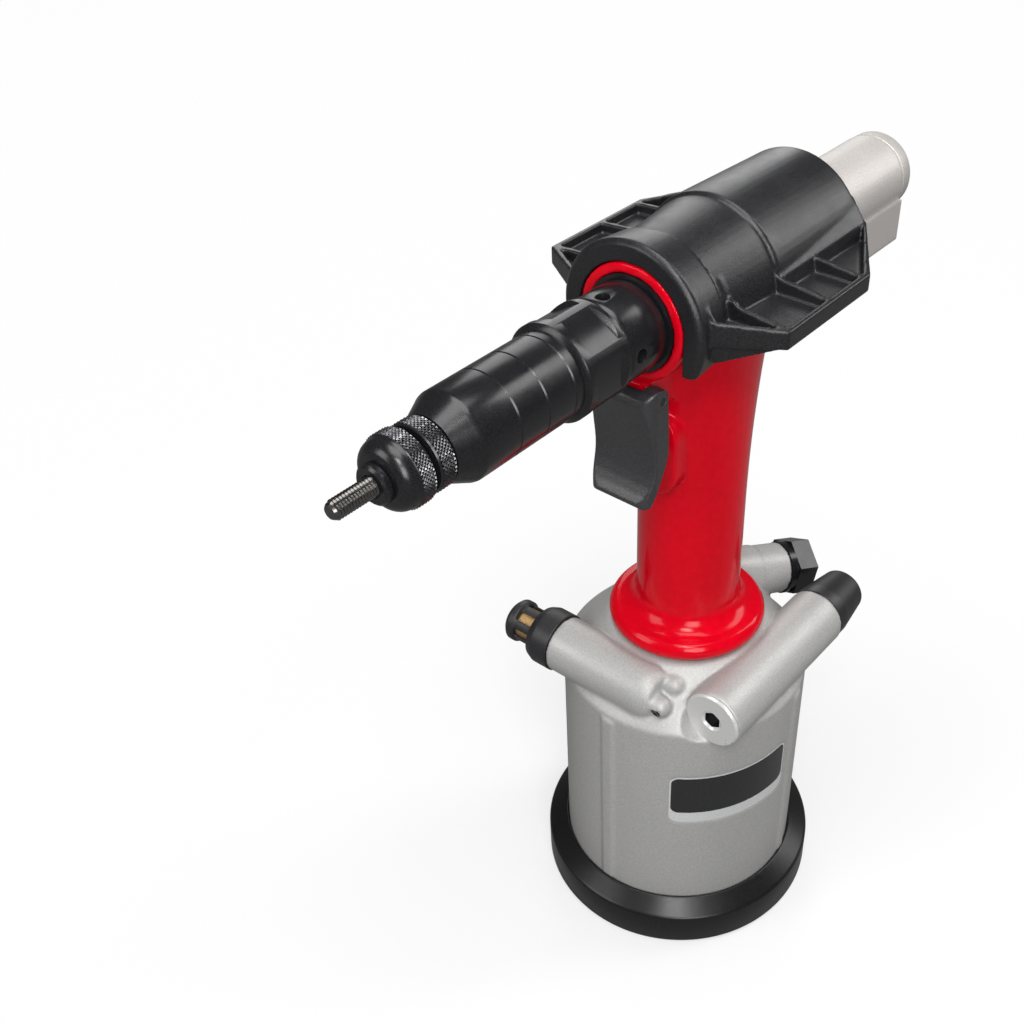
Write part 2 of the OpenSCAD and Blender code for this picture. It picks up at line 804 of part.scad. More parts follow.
// spool with four lands
module valve_spool() {
  color([0.66, 0.67, 0.69])
    on_valve()
      translate([0, 0, valve_end_x + plug_t + 1])
        for (i = [0 : 3]) {
          translate([0, 0, i * (spool_len - 7) / 3]) rod(valve_bore_r - run, 0, 7);
          rod(valve_bore_r * 0.55, 0, spool_len);
        }
}

// black exhaust cap: a collar, a slotted waist and a round head
module exhaust_cap() {
  head_z0 = exhaust_end + exhaust_cap_len - exhaust_head;
  color([0.09, 0.09, 0.1])
    on_exhaust()
      difference() {
        rotate_extrude()
          polygon([[0, exhaust_end - spigot_len], [exhaust_bore_r - seat, exhaust_end - spigot_len],
            [exhaust_bore_r - seat, exhaust_end], [exhaust_cap_r, exhaust_end],
            [exhaust_cap_r, exhaust_end + exhaust_collar - 4],
            [exhaust_cap_r - 1.2, exhaust_end + exhaust_collar - 1],
            [exhaust_waist_r, exhaust_end + exhaust_collar], [exhaust_waist_r, head_z0],
            [exhaust_head_r, head_z0 + 0.6], [exhaust_head_r, head_z0 + exhaust_head - 1.6],
            [exhaust_head_r - 1.6, head_z0 + exhaust_head], [0, head_z0 + exhaust_head]]);
        rod(silencer_r + seat, exhaust_end - spigot_len - 1, head_z0 + 1);
        for (a = [0 : 60 : 120])
          rotate([0, 0, a])
            translate([-far / 2, -2, exhaust_end + exhaust_collar])
              cube([far, 4, head_z0 - exhaust_end - exhaust_collar]);
      }
}

// sintered bronze silencer inside the exhaust cap
module exhaust_silencer() {
  color([0.6, 0.42, 0.2])
    on_exhaust()
      tube(silencer_r, silencer_r - 2, exhaust_end - spigot_len,
        exhaust_end + exhaust_cap_len - exhaust_head + 1);
}

// small dark screw in the knob
module relief_screw() {
  color([0.12, 0.12, 0.12])
    relief_place()
      difference() {
        rod(relief_r, -3, 0.4);
        hex_rod(relief_r, -1, far);
      }
}

// air inlet with a pipe thread for the hose coupling
module air_inlet() {
  color([0.1, 0.1, 0.11])
    on_inlet()
      difference() {
        union() {
          rod(inlet_bore_r - seat, inlet_end - spigot_len, inlet_end);
          rod(inlet_hex / 2, inlet_end, inlet_end + 3);
          hex_rod(inlet_hex, inlet_end + 3, inlet_end + inlet_len);
        }
        rod(inlet_thread_r, inlet_end, far);
        rod(inlet_thread_r - 2, 0, far);
      }
}

// share of the flare at one height, growing from none to one
function flare(z) = pow(max(0, (z - flare_z) / (grip_top - flare_z)), 2);

// section of the grip: round below, drawn out to front and rear under the head
grip_sides = 40;
grip_rings = 22;
grip_base = flange_z - flange_t / 2;
function grip_ring(z) = [
  for (j = [0 : grip_sides - 1])
    let (a = 360 * j / grip_sides)
    let (reach = grip_r + (cos(a) > 0 ? rear_flare : front_flare) * flare(z))
    [reach * cos(a), (grip_r - 1.5 * flare(z)) * sin(a), z]
];

// flared grip as one lofted solid
module grip_body() {
  polyhedron(
    [for (i = [0 : grip_rings])
      each grip_ring(grip_base + (grip_top - grip_base) * i / grip_rings)],
    sweep_faces(grip_rings + 1, grip_sides), convexity = 4);
}

// flange with a rounded rim and a hollow sweep up to the grip
module handle_flange() {
  rotate_extrude()
    difference() {
      union() {
        translate([0, shoulder_z]) square([flange_r - flange_t / 2, flange_t]);
        translate([flange_r - flange_t / 2, shoulder_z + flange_t / 2]) circle(r = flange_t / 2);
        translate([0, flange_z - bite]) square([grip_r - 0.4 + flange_sweep, flange_sweep + bite]);
      }
      translate([grip_r - 0.4 + flange_sweep, flange_z + flange_sweep])
        circle(r = flange_sweep);
    }
}

// lug that comes down from the head between the trigger's cheeks
module pin_lug() {
  rotate([90, 0, 0])
    linear_extrude(height = 2 * lug_half, center = true) {
      translate([-pin_x, pin_z]) circle(r = lug_r);
      polygon([[-pin_x, head_z - head_r / 2], [-pin_x, pin_z - lug_r],
        [-pin_x + 2 * lug_r, pin_z - 2 * lug_r], [0, pin_z - 3 * lug_r], [0, head_z - head_r / 2]]);
    }
}

// red casting: flange, grip and head in one piece, bored for oil, piston and trigger
module handle() {
  color([0.8, 0.02, 0.05])
    difference() {
      union() {
        handle_flange();
        grip_body();
        to_nose() rod(head_r, -head_rear, head_front);
        pin_lug();
        translate([0, 0, plunger_z])
          rotate([0, -90, 0])
            linear_extrude(height = plunger_boss_x) {
              circle(r = plunger_boss_r);
              translate([-plunger_boss_drop, 0]) circle(r = plunger_boss_r);
              translate([-plunger_boss_drop, -plunger_boss_r])
                square([plunger_boss_drop, 2 * plunger_boss_r]);
            }
      }
      to_nose() rod(head_bore_r, -far, far);
      rod(oil_r, 0, oil_top);
      rod(rod_seal_r, 0, shoulder_z + rod_seal_t);
      translate([-traction_x - 4, 0, 0]) rod(2.5, oil_top - 4, head_z);
      translate([0, 0, plunger_z])
        rotate([0, -90, 0])
          rod(plunger_r + run, plunger_stop, far);
      pin_place() rod(pin_r + seat, -far, far);
    }
}

// turn what is drawn up Z so that it lies along the trigger pin
module pin_place() {
  translate([-pin_x, 0, pin_z])
    rotate([90, 0, 0])
      children();
}

// curve of the trigger's face: it leans forward up to the pin and flicks forward at its lower end
trigger_low = pin_z - trigger_drop;
trigger_top = pin_z + trigger_rise;
trigger_tip = trigger_low + trigger_wall;
trigger_hollow = trigger_tip + trigger_flick_h;
trigger_waist = trigger_tip + trigger_dip;
function trigger_x(z) = -trigger_face - (z > trigger_waist
  ? trigger_lean * pow((z - trigger_waist) / (pin_z - trigger_waist), 1.4)
  : trigger_flick * pow((trigger_waist - z) / trigger_dip, 2));

// side view of the trigger: its face, rounded top and slender lower end
trigger_steps = 12;
function trigger_side() =
  let (back = -trigger_face + trigger_deep)
  let (crown = -trigger_face - trigger_lean)
  concat(
    [for (i = [0 : trigger_steps])
      let (z = trigger_tip + (pin_z - trigger_tip) * i / trigger_steps)
      [trigger_x(z), z]],
    [for (a = [30 : 30 : 150])
      [(crown + back) / 2 - (back - crown) / 2 * cos(a), pin_z + trigger_rise * sin(a)]],
    [[back - trigger_wall / 3, pin_z], [back, pin_z - trigger_drop * 0.3],
      [back, trigger_hollow + trigger_flick_h],
      [back - trigger_deep / 4, trigger_hollow + trigger_flick_h / 3],
      [back - trigger_deep * 0.6, trigger_hollow - trigger_flick_h / 4],
      [-trigger_face - trigger_flick / 4, trigger_low + trigger_wall / 3],
      [-trigger_face - trigger_flick * 0.7, trigger_low]]);

// plan of the trigger with its two front edges rounded
module trigger_plan() {
  front = -trigger_face - trigger_flick;
  translate([front, -trigger_half + trigger_round]) square([far, 2 * (trigger_half - trigger_round)]);
  translate([front + trigger_round, -trigger_half]) square([far, 2 * trigger_half]);
  for (s = [-1, 1])
    translate([front + trigger_round, s * (trigger_half - trigger_round)]) circle(r = trigger_round);
}

// trigger: a curved shell, hollow behind, that hangs on its pin
module trigger() {
  gap = 2 * (lug_half + free_gap);
  color([0.08, 0.08, 0.09])
    difference() {
      intersection() {
        rotate([90, 0, 0])
          linear_extrude(height = 2 * trigger_half, center = true)
            polygon(trigger_side());
        translate([0, 0, trigger_low - 1])
          linear_extrude(height = far)
            trigger_plan();
      }
      translate([-pad_x, -gap / 2, trigger_low]) cube([far, gap, far]);
      translate([-pin_x - lug_r - free_gap, -gap / 2, pin_z - 2 * lug_r]) cube([far, gap, far]);
      pin_place() rod(pin_r + run, -far, far);
    }
}

// steel pin through the lug and the trigger's cheeks
module trigger_pin() {
  color([0.6, 0.6, 0.62])
    pin_place() rod(pin_r, -trigger_half + 0.3, trigger_half - 0.3);
}

// plunger that the trigger pushes into the grip
module trigger_plunger() {
  color([0.6, 0.6, 0.62])
    translate([0, 0, plunger_z])
      rotate([0, -90, 0]) {
        rod(plunger_r, plunger_back, plunger_front - plunger_r);
        translate([0, 0, plunger_front - plunger_r]) sphere(r = plunger_r);
      }
}

// small spring behind the plunger
module trigger_spring() {
  color([0.55, 0.55, 0.57])
    translate([-plunger_stop, 0, plunger_z])
      rotate([0, -90, 0])
        coil(plunger_r - 0.9, 0.4, 3, plunger_back - plunger_stop);
}

// outline of the two wings seen from above, drawn in by a margin
module wing_plan(margin) {
  front = -cover_front + wing_set + margin;
  back = cover_end - margin;
  out = wing_half - margin;
  polygon([[front, -arch_r], [-wing_front + margin * 0.6, -out], [wing_rear - margin * 0.6, -out],
    [back, -shell_r], [back, shell_r], [wing_rear - margin * 0.6, out],
    [-wing_front + margin * 0.6, out], [front, arch_r]]);
}

// the leaning roof touches the shell at this angle above the head axis
shell_tail_r = shell_r - shell_draft;
ridge_angle = atan2(eave_rise, eave_half) + acos(shell_tail_r / norm([eave_half, eave_rise]));
ridge = (shell_tail_r - 0.3) * [cos(ridge_angle), sin(ridge_angle)];
wing_top = wing_t - wing_low;

// end view of the wings: a low roof that falls from the eaves to the outer edges
module wing_section() {
  polygon([[wing_half, -wing_low], [wing_half, wing_top], [eave_half, eave_rise], ridge,
    [-ridge[0], ridge[1]], [-eave_half, eave_rise], [-wing_half, wing_top], [-wing_half, -wing_low]]);
}

// end view of the keel under the wings
module keel_section() {
  polygon([[-arch_r, -wing_low - wing_sink], [arch_r, -wing_low - wing_sink],
    [wing_half, -wing_low], [-wing_half, -wing_low]]);
}

// end view of the roof that stays between the pockets
module roof_section() {
  polygon([[roof_half, -wing_low], [roof_half, pocket_rise], [eave_half, eave_rise], ridge,
    [-ridge[0], ridge[1]], [-eave_half, eave_rise], [-roof_half, pocket_rise], [-roof_half, -wing_low]]);
}

// draw an end view along the whole cover
module along_cover() {
  translate([-cover_front, 0, head_z])
    rotate([90, 0, 90])
      linear_extrude(height = cover_front + cover_end)
        children();
}

// draw a plan through the whole height of the cover
module through_cover() {
  translate([0, 0, head_z - far / 2])
    linear_extrude(height = far)
      children();
}

// foot of the shell between the pockets
module roof() {
  intersection() {
    along_cover() roof_section();
    through_cover() translate([shell_x, -roof_half]) square([far, 2 * roof_half]);
  }
}

// room between the ribs of both wings, down to their floor
module wing_pockets() {
  edges = concat([-far], wing_ribs, [far]);
  difference() {
    intersection() {
      through_cover() wing_plan(wing_wall);
      translate([0, 0, head_z + pocket_rise])
        for (i = [0 : len(edges) - 2])
          translate([edges[i] + wing_wall / 2, -far, 0])
            cube([edges[i + 1] - edges[i] - wing_wall, 2 * far, far]);
    }
    roof();
  }
}

// ribbed wings of the cover, with a keel set back under them
module cover_wings() {
  difference() {
    intersection() {
      along_cover() wing_section();
      through_cover() wing_plan(0);
    }
    wing_pockets();
  }
  intersection() {
    along_cover() keel_section();
    through_cover() wing_plan(keel_set);
  }
}

// saddle of the cover: arch, waist and rear shell turned round the head axis
module cover_saddle() {
  difference() {
    to_motor()
      rotate_extrude()
        polygon([[cover_bore_r - 2, -cover_front], [arch_r - 1.5, -cover_front],
          [arch_r, -cover_front + 1.5], [arch_rear_r, -cover_front + arch_len - 1],
          [arch_rear_r - 1, -cover_front + arch_len], [waist_r, -cover_front + arch_len],
          [shell_r - shell_step, shell_x - 1], [shell_r, shell_x], [shell_tail_r, cover_end - 1.5],
          [shell_tail_r - 1.5, cover_end], [cover_bore_r - 2, cover_end]]);
    translate([-far / 2, -far / 2, head_z - arch_drop - far]) cube(far);
    translate([-cover_front + arch_len, -far / 2, head_z - wing_low - 3 - far]) cube(far);
  }
}

// black moulded cover that sits astride the head
module head_cover() {
  color([0.1, 0.1, 0.11])
    difference() {
      union() {
        cover_saddle();
        cover_wings();
      }
      to_motor() rod(cover_bore_r, -far, far);
      translate([-far / 2, -cover_bore_r, head_z - far]) cube([far, 2 * cover_bore_r, far]);
    }
}

// grey gland that closes the head in front and carries the nose
module front_gland() {
  color([0.55, 0.56, 0.58])
    to_nose()
      difference() {
        union() {
          rod(head_bore_r - seat, head_front - gland_len, gland_front);
          rod(neck_r, gland_front - bite, collar_end + neck_in);
        }
        rod(traction_rod_r + run, 0, far);
      }
}

// black collar with pin spanner holes
module nose_collar() {
  color([0.1, 0.1, 0.11])
    to_nose()
      difference() {
        rotate_extrude()
          polygon([[neck_r + seat, gland_front], [collar_r - 0.8, gland_front],
            [collar_r, gland_front + 0.8], [collar_r, collar_end - 1.6], [collar_r - 1.6, collar_end],
            [neck_r + seat, collar_end]]);
        for (a = [0 : 90 : 270])
          rotate([0, 0, a])
            translate([0, 0, gland_front + collar_len * 0.7])
              rotate([0, 90, 0])
                rod(spanner_r, neck_r + 1, far);
      }
}

// nose barrel with spanner flats, thin grooves and a front cone
module nose_barrel() {
  color([0.1, 0.1, 0.11])
    to_nose()
      difference() {
        union() {
          difference() {
            rod(flats_r, collar_end, flats_end);
            for (a = [0 : 60 : 300])
              rotate([0, 0, a + 30])
                translate([flats_af / 2, -far / 2, collar_end + 2])
                  cube([far, far, flats_len - 5]);
          }
          rotate_extrude()
            polygon([[0, flats_end - bite], [barrel_r, flats_end - bite], [barrel_r, barrel_end],
              [barrel_tip_r, cone_end], [0, cone_end]]);
        }
        for (i = [0 : 2])
          tube(far, barrel_r - 0.4, flats_end + 3.8 + i * groove_pitch,
            flats_end + 3.8 + i * groove_pitch + groove_w);
        rod(neck_r + seat, 0, collar_end + neck_in);
        rod(barrel_bore_r, 0, cone_end - barrel_wall);
        rod(shank_r + run, 0, far);
      }
}

// knurled ring that locks the anvil nut
module lock_ring() {
  color([0.12, 0.12, 0.13])
    to_nose()
      rotate_extrude()
        polygon([[shank_r + run, cone_end + free_gap], [lock_r - 0.5, cone_end + free_gap],
          [lock_r, cone_end + free_gap + 0.5], [lock_r, lock_end - 0.5], [lock_r - 0.5, lock_end],
          [shank_r + run, lock_end]]);
}

// quarter ellipse of the anvil nut's dome
function anvil_profile() = [
  for (a = [15 : 15 : 90])
    [anvil_dome_r + (anvil_r - 0.6 - anvil_dome_r) * cos(a), knurl_end + anvil_dome * sin(a)]
];

// knurled anvil nut with its dome, tip and screwed shank
module anvil_nut() {
  color([0.12, 0.12, 0.13])
    to_nose()
      rotate_extrude()
        polygon([[mandrel_r + run, cone_end - barrel_wall + 1], [shank_r, cone_end - barrel_wall + 1],
          [shank_r, lock_end + free_gap], [shank_r + 1.4, lock_end + free_gap],
          [shank_r + 1.4, knurl_start], [anvil_r - 0.5, knurl_start], [anvil_r, knurl_start + 0.5],
          [anvil_r, knurl_end - 0.6], [anvil_r - 0.6, knurl_end], each anvil_profile(),
          [anvil_tip_r - 0.6, anvil_dome_end], [anvil_tip_r, anvil_dome_end + 0.6],
          [anvil_tip_r, anvil_end - 0.7], [anvil_tip_r - 0.7, anvil_end], [mandrel_r + run, anvil_end]]);
}

// mandrel that the rivet nut screws on, with a socket for the drive
module mandrel() {
  color([0.62, 0.6, 0.56])
    to_nose()
      difference() {
        rotate_extrude()
          polygon([[0, head_seat - mandrel_head_len], [mandrel_head_r, head_seat - mandrel_head_len],
            [mandrel_head_r, head_seat], [mandrel_neck_r, head_seat], [mandrel_neck_r, anvil_end],
            [mandrel_r, anvil_end], [mandrel_r, mandrel_end - 1.2],
            [mandrel_r - 1, mandrel_end], [0, mandrel_end]]);
        hex_rod(drive_socket, head_seat - mandrel_head_len - 1,
          head_seat - mandrel_head_len + socket_deep);
      }
}

// sleeve on the traction rod that pulls the mandrel by its head
module mandrel_sleeve() {
  color([0.5, 0.5, 0.52])
    to_nose()
      difference() {
        rod(holder_r, rod_front - sleeve_grip, sleeve_end);
        rod(traction_rod_r + seat, 0, rod_front);
        rod(mandrel_head_r + run, 0, head_seat);
        rod(mandrel_r + run, 0, far);
      }
}

// hydraulic piston with its hollow rod and tail
module traction_piston() {
  color([0.66, 0.67, 0.69])
    to_nose()
      difference() {
        union() {
          rod(head_bore_r - run, -traction_back, traction_x);
          rod(traction_rod_r, traction_x - bite, rod_front);
          rod(tail_r, -tail_end, bite - traction_back);
        }
        rod(traction_hole_r, -far, far);
        tube(far, head_bore_r - 2.4, traction_x - 8 - run, traction_x - 4 + run);
      }
}

// ring in the traction piston's groove
module traction_ring() {
  color([0.08, 0.08, 0.08])
    to_nose()
      tube(head_bore_r - run, head_bore_r - 2.4 + run, traction_x - 8, traction_x - 4);
}

// spring that sends the traction piston forward again
module return_spring() {
  color([0.45, 0.45, 0.47])
    to_motor()
      translate([0, 0, traction_back])
        coil((head_bore_r + tail_r) / 2 + 1, spring_wire_r, spring_turns,
          gland_face - traction_back);
}

// gland that closes the head behind the spring
module rear_gland() {
  color([0.55, 0.56, 0.58])
    to_motor() tube(head_bore_r - seat, tail_r + run, gland_face, gland_back);
}

// hexagonal shaft from the gearbox to the mandrel
module drive_shaft() {
  color([0.6, 0.6, 0.62])
    to_nose() hex_rod(drive_hex, -motor_x, drive_front);
}

// carrier that holds the three planet pins
module planet_carrier() {
  color([0.55, 0.55, 0.57])
    to_motor()
      difference() {
        union() {
          rod(tail_r - 0.6, hub_x, motor_x + 1);
          rod(carrier_r, motor_x + 0.4, gear_x - 0.4);
          for (a = [0 : 120 : 240])
            rotate([0, 0, a])
              translate([planet_orbit, 0, 0])
                rod(planet_pin_r, gear_x - 1, gear_end);
        }
        hex_rod(drive_hex, 0, motor_x);
      }
}

// one planet gear, set so that a gap faces the sun pinion
module planet(index) {
  color([0.66, 0.6, 0.45])
    to_motor()
      rotate([0, 0, index * 120])
        translate([planet_orbit, 0, gear_x])
          difference() {
            linear_extrude(height = gear_w)
              rotate(180 / planet_teeth)
                polygon(gear_points(planet_teeth, pitch_r + 0.9 * gear_module,
                  pitch_r - 1.25 * gear_module, tooth_play));
            rod(planet_pin_r + run, -1, far);
          }
}

module planet_1() planet(0);
module planet_2() planet(1);
module planet_3() planet(2);

// fixed ring gear with inner teeth
module ring_gear() {
  color([0.5, 0.5, 0.52])
    to_motor()
      difference() {
        rod(motor_bore_r - seat, motor_x, plate_x);
        translate([0, 0, motor_x - 1])
          linear_extrude(height = far)
            rotate(180 / ring_teeth)
              polygon(gear_points(ring_teeth, pitch_r * 3 + 1.25 * gear_module,
                pitch_r * 3 - 0.8 * gear_module, -tooth_play));
      }
}

// pinion on the rotor shaft that drives the planets
module sun_pinion() {
  color([0.6, 0.6, 0.62])
    to_motor()
      translate([0, 0, gear_x])
        difference() {
          linear_extrude(height = gear_w)
            polygon(gear_points(planet_teeth, pitch_r + 0.9 * gear_module,
              pitch_r - 1.25 * gear_module, tooth_play));
          rod(rotor_shaft_r + seat, -1, far);
        }
}

// rotor with its shaft and the slots for the vanes
module rotor() {
  color([0.62, 0.63, 0.65])
    to_motor()
      difference() {
        union() {
          rod(rotor_r, liner_x + 0.2, liner_x + 0.2 + rotor_len);
          rod(rotor_shaft_r, gear_x, rear_plate_end - 0.5);
        }
        vane_slots(vane_t / 2 + run, vane_deep + 0.3);
      }
}

// flat slots at even angles round the rotor
module vane_slots(half, deep) {
  for (i = [0 : vane_count - 1])
    rotate([0, 0, 360 * i / vane_count])
      translate([rotor_r - deep, -half, liner_x])
        cube([far, 2 * half, rotor_len + 0.4]);
}

// vanes lying in their slots
module vanes() {
  color([0.35, 0.24, 0.14])
    to_motor()
      for (i = [0 : vane_count - 1])
        rotate([0, 0, 360 * i / vane_count])
          translate([rotor_r - vane_deep - 0.2, -vane_t / 2, liner_x + 0.3])
            cube([vane_deep, vane_t, rotor_len - 0.2]);
}

// steel liner whose bore lies off centre round the rotor
module motor_liner() {
  color([0.5, 0.5, 0.52])
    to_motor()
      difference() {
        rod(motor_bore_r - seat, liner_x, liner_end);
        translate([-liner_shift, 0, 0]) rod(liner_r, 0, far);
      }
}

// plate between gears and rotor
module front_plate() {
  color([0.72, 0.55, 0.25])
    to_motor() tube(motor_bore_r - seat, rotor_shaft_r + run, plate_x, liner_x);
}

// plate behind the rotor
module rear_plate() {
  color([0.72, 0.55, 0.25])
    to_motor() tube(motor_bore_r - seat, rotor_shaft_r + run, liner_end, rear_plate_end);
}

// motor housing: round barrel on a flat-sided block
module motor_housing() {
  color([0.74, 0.75, 0.76])
    difference() {
      union() {
        to_motor() rod(motor_r, motor_x - 1, motor_end);
        to_motor() rod(motor_flange_r, motor_front, motor_x);
        to_motor() rod(head_bore_r - seat, gland_back, motor_front + 1);
        translate([motor_x - 1, -block_half, head_z - block_drop])
          cube([motor_len + 3, 2 * block_half, block_drop - motor_r * 0.45]);
        translate([motor_x - 1, -block_half + 0.4, head_z - block_drop + 1])
          cube([motor_len + 1, 2 * block_half - 0.8, block_drop]);
      }
      to_motor() rod(motor_bore_r, motor_x, far);
      to_motor() rod(motor_r + free_gap, motor_end, far);
      to_motor() rod(tail_r + 0.3, 0, hub_x);
      to_motor() rod(tail_r - 0.6 + run, 0, far);
    }
}

// round cap on the end of the motor
module motor_end_cap() {
  color([0.78, 0.79, 0.8])
    to_motor()
      rotate_extrude()
        polygon([[motor_bore_r - 3, rear_plate_end], [motor_bore_r - seat, rear_plate_end],
          [motor_bore_r - seat, motor_end], [motor_r, motor_end],
          [motor_r - 0.3, motor_end + end_cap_len - 1.5], [motor_r - 1.8, motor_end + end_cap_len],
          [0, motor_end + end_cap_len], [0, motor_end + end_cap_len - 4],
          [motor_bore_r - 3, motor_end + end_cap_len - 4]]);
}

foot_ring();
air_cylinder();
base_cover();
base_snap_ring();
air_piston();
air_piston_ring();
intensifier_rod();
rod_nut();
rod_bush();
rod_seal();
valve_plug();
valve_cap();
valve_spool();
exhaust_cap();
exhaust_silencer();
relief_screw();
air_inlet();
handle();
trigger();
trigger_pin();
trigger_plunger();
trigger_spring();
head_cover();
front_gland();
nose_collar();
nose_barrel();
lock_ring();
anvil_nut();
mandrel();
mandrel_sleeve();
traction_piston();
traction_ring();
return_spring();
rear_gland();
drive_shaft();
planet_carrier();
planet_1();
planet_2();
planet_3();
ring_gear();
sun_pinion();
rotor();
vanes();
motor_liner();
front_plate();
rear_plate();
motor_housing();
motor_end_cap();
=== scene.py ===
# %% [markdown]
# # A rivet nut tool, dressed for the camera
# The solids of the tool come from its mechanical model and are only loaded here.
# This lesson gives them their looks: soft cast edges, knurls, a real thread,
# paint, rubber and moulded plastic, and a camera that stands where the photographer stood.
# Sizes of pieces are in millimetres and become metres by MM. Camera, floor and lamps are in metres.

# %% Load the solids
import json
import math
import bpy
from mathutils import Matrix, Vector


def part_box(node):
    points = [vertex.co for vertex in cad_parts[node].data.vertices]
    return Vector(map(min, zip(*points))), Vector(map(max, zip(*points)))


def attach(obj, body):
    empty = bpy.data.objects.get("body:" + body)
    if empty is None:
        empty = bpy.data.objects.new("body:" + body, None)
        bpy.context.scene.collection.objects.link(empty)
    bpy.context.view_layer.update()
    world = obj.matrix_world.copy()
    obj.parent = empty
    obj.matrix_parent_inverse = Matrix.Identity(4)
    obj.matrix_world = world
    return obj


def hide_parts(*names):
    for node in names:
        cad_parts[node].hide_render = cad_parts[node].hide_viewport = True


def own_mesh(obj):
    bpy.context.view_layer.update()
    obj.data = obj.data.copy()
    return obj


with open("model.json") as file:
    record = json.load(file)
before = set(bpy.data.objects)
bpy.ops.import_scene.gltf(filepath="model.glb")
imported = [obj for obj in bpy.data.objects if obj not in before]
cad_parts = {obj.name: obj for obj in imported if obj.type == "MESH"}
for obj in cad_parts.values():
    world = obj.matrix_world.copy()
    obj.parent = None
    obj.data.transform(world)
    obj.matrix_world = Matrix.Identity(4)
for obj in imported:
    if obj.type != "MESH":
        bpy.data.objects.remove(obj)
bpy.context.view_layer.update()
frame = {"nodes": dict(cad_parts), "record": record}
MM = 0.001
scene = bpy.context.scene
scene.view_settings.view_transform = "Standard"

# %% [markdown]
# ## The camera
# The photographer stood ahead of the tool on its right, looking down at about forty degrees.
# The round edges of foot, cylinder and nose tell the direction, the distance and the lens.
# The tool sits a little right of the picture's middle, which a lens shift gives
# without turning the camera.

# %% Stand the camera where the photographer stood
AZIMUTH, ELEVATION, ROLL = math.radians(-52.76), math.radians(38.30), math.radians(0.56)
LOOK_AT, DISTANCE = Vector((-0.0360, 0, 0.1980)), 0.4593
SENSOR_WIDTH = 36
PICTURE_PIXELS, LENS_PIXELS = 1024, 1297.9
AXIS_PIXEL_X, AXIS_PIXEL_Y = 632.84, 537.61

right = Vector((math.cos(AZIMUTH), math.sin(AZIMUTH), 0))
back = Vector((math.sin(AZIMUTH) * math.cos(ELEVATION), -math.cos(AZIMUTH) * math.cos(ELEVATION),
               math.sin(ELEVATION)))
up = back.cross(right)
right, up = right * math.cos(ROLL) + up * math.sin(ROLL), up * math.cos(ROLL) - right * math.sin(ROLL)
spot = LOOK_AT + back * DISTANCE
camera_data = bpy.data.cameras.new("photographer")
camera_data.sensor_width = SENSOR_WIDTH
camera_data.lens = SENSOR_WIDTH * LENS_PIXELS / PICTURE_PIXELS
camera_data.shift_x = (PICTURE_PIXELS / 2 - AXIS_PIXEL_X) / PICTURE_PIXELS
camera_data.shift_y = (AXIS_PIXEL_Y - PICTURE_PIXELS / 2) / PICTURE_PIXELS
camera = bpy.data.objects.new("photographer", camera_data)
scene.collection.objects.link(camera)
camera.matrix_world = Matrix.Translation(spot) @ Matrix((right, up, back)).transposed().to_4x4()
scene.camera = camera
print("camera at", [round(v, 3) for v in spot])

# %% [markdown]
# ## The floor
# A catalogue photograph has no horizon: one wide white floor fills the picture. A bent sheet of
# paper would do the same, but a flat disc looks alike from every side. It lies a little
# below the foot, so that the two never share a plane.

# %% Lay the floor
FLOOR_R, FLOOR_DROP = 9, 0.0004
bpy.ops.object.select_all(action="DESELECT")
bpy.ops.mesh.primitive_circle_add(vertices=64, radius=FLOOR_R, fill_type="NGON",
                                  location=(0, 0, -FLOOR_DROP))
floor = bpy.context.object
floor.name = "studio_floor"
bpy.ops.object.transform_apply(location=True, rotation=True, scale=True)
print("floor", 2 * FLOOR_R, "metres across")

# %% [markdown]
# ## The floor's paint
# White paper throws much light back, and every dark side of the tool would go grey, so this
# floor is dark to all rays but the camera's. Metal mirrors its white only faintly. Close to the foot the
# camera sees more of the lit paper and less of the plain white, so that a soft shadow stays.

# %% Paint the floor
PAPER_TO_LIGHT, PAPER_TO_CAMERA, PAPER_ROUGHNESS = 0.08, 0.65, 0.7
SHADOW_FROM, SHADOW_TO = 0.10, 0.30
WHITE_NEAR, WHITE_FAR, WHITE_MIRRORED = 0.6, 0.98, 0.15


def add_math(tree, operation, *inputs):
    node = tree.nodes.new("ShaderNodeMath")
    node.operation = operation
    for socket, value in zip(node.inputs, inputs):
        if isinstance(value, bpy.types.NodeSocket):
            tree.links.new(value, socket)
        else:
            socket.default_value = value
    return node.outputs[0]


floor_paint = bpy.data.materials.new("studio_floor_paint")
floor_paint.use_nodes = True
tree = floor_paint.node_tree
paper = tree.nodes["Principled BSDF"]
paper.inputs["Roughness"].default_value = PAPER_ROUGHNESS
white = tree.nodes.new("ShaderNodeEmission")
white.inputs["Color"].default_value = (1, 1, 1, 1)
path = tree.nodes.new("ShaderNodeLightPath")
tint = tree.nodes.new("ShaderNodeMix")
tint.data_type = "RGBA"
tint.inputs["A"].default_value = (*[PAPER_TO_LIGHT] * 3, 1)
tint.inputs["B"].default_value = (*[PAPER_TO_CAMERA] * 3, 1)
place = tree.nodes.new("ShaderNodeTexCoord")
distance = tree.nodes.new("ShaderNodeVectorMath")
distance.operation = "LENGTH"
fade = tree.nodes.new("ShaderNodeMapRange")
fade.interpolation_type = "SMOOTHSTEP"
fade.inputs["From Min"].default_value = SHADOW_FROM
fade.inputs["From Max"].default_value = SHADOW_TO
fade.inputs["To Min"].default_value = WHITE_NEAR
fade.inputs["To Max"].default_value = WHITE_FAR
blend = tree.nodes.new("ShaderNodeMixShader")

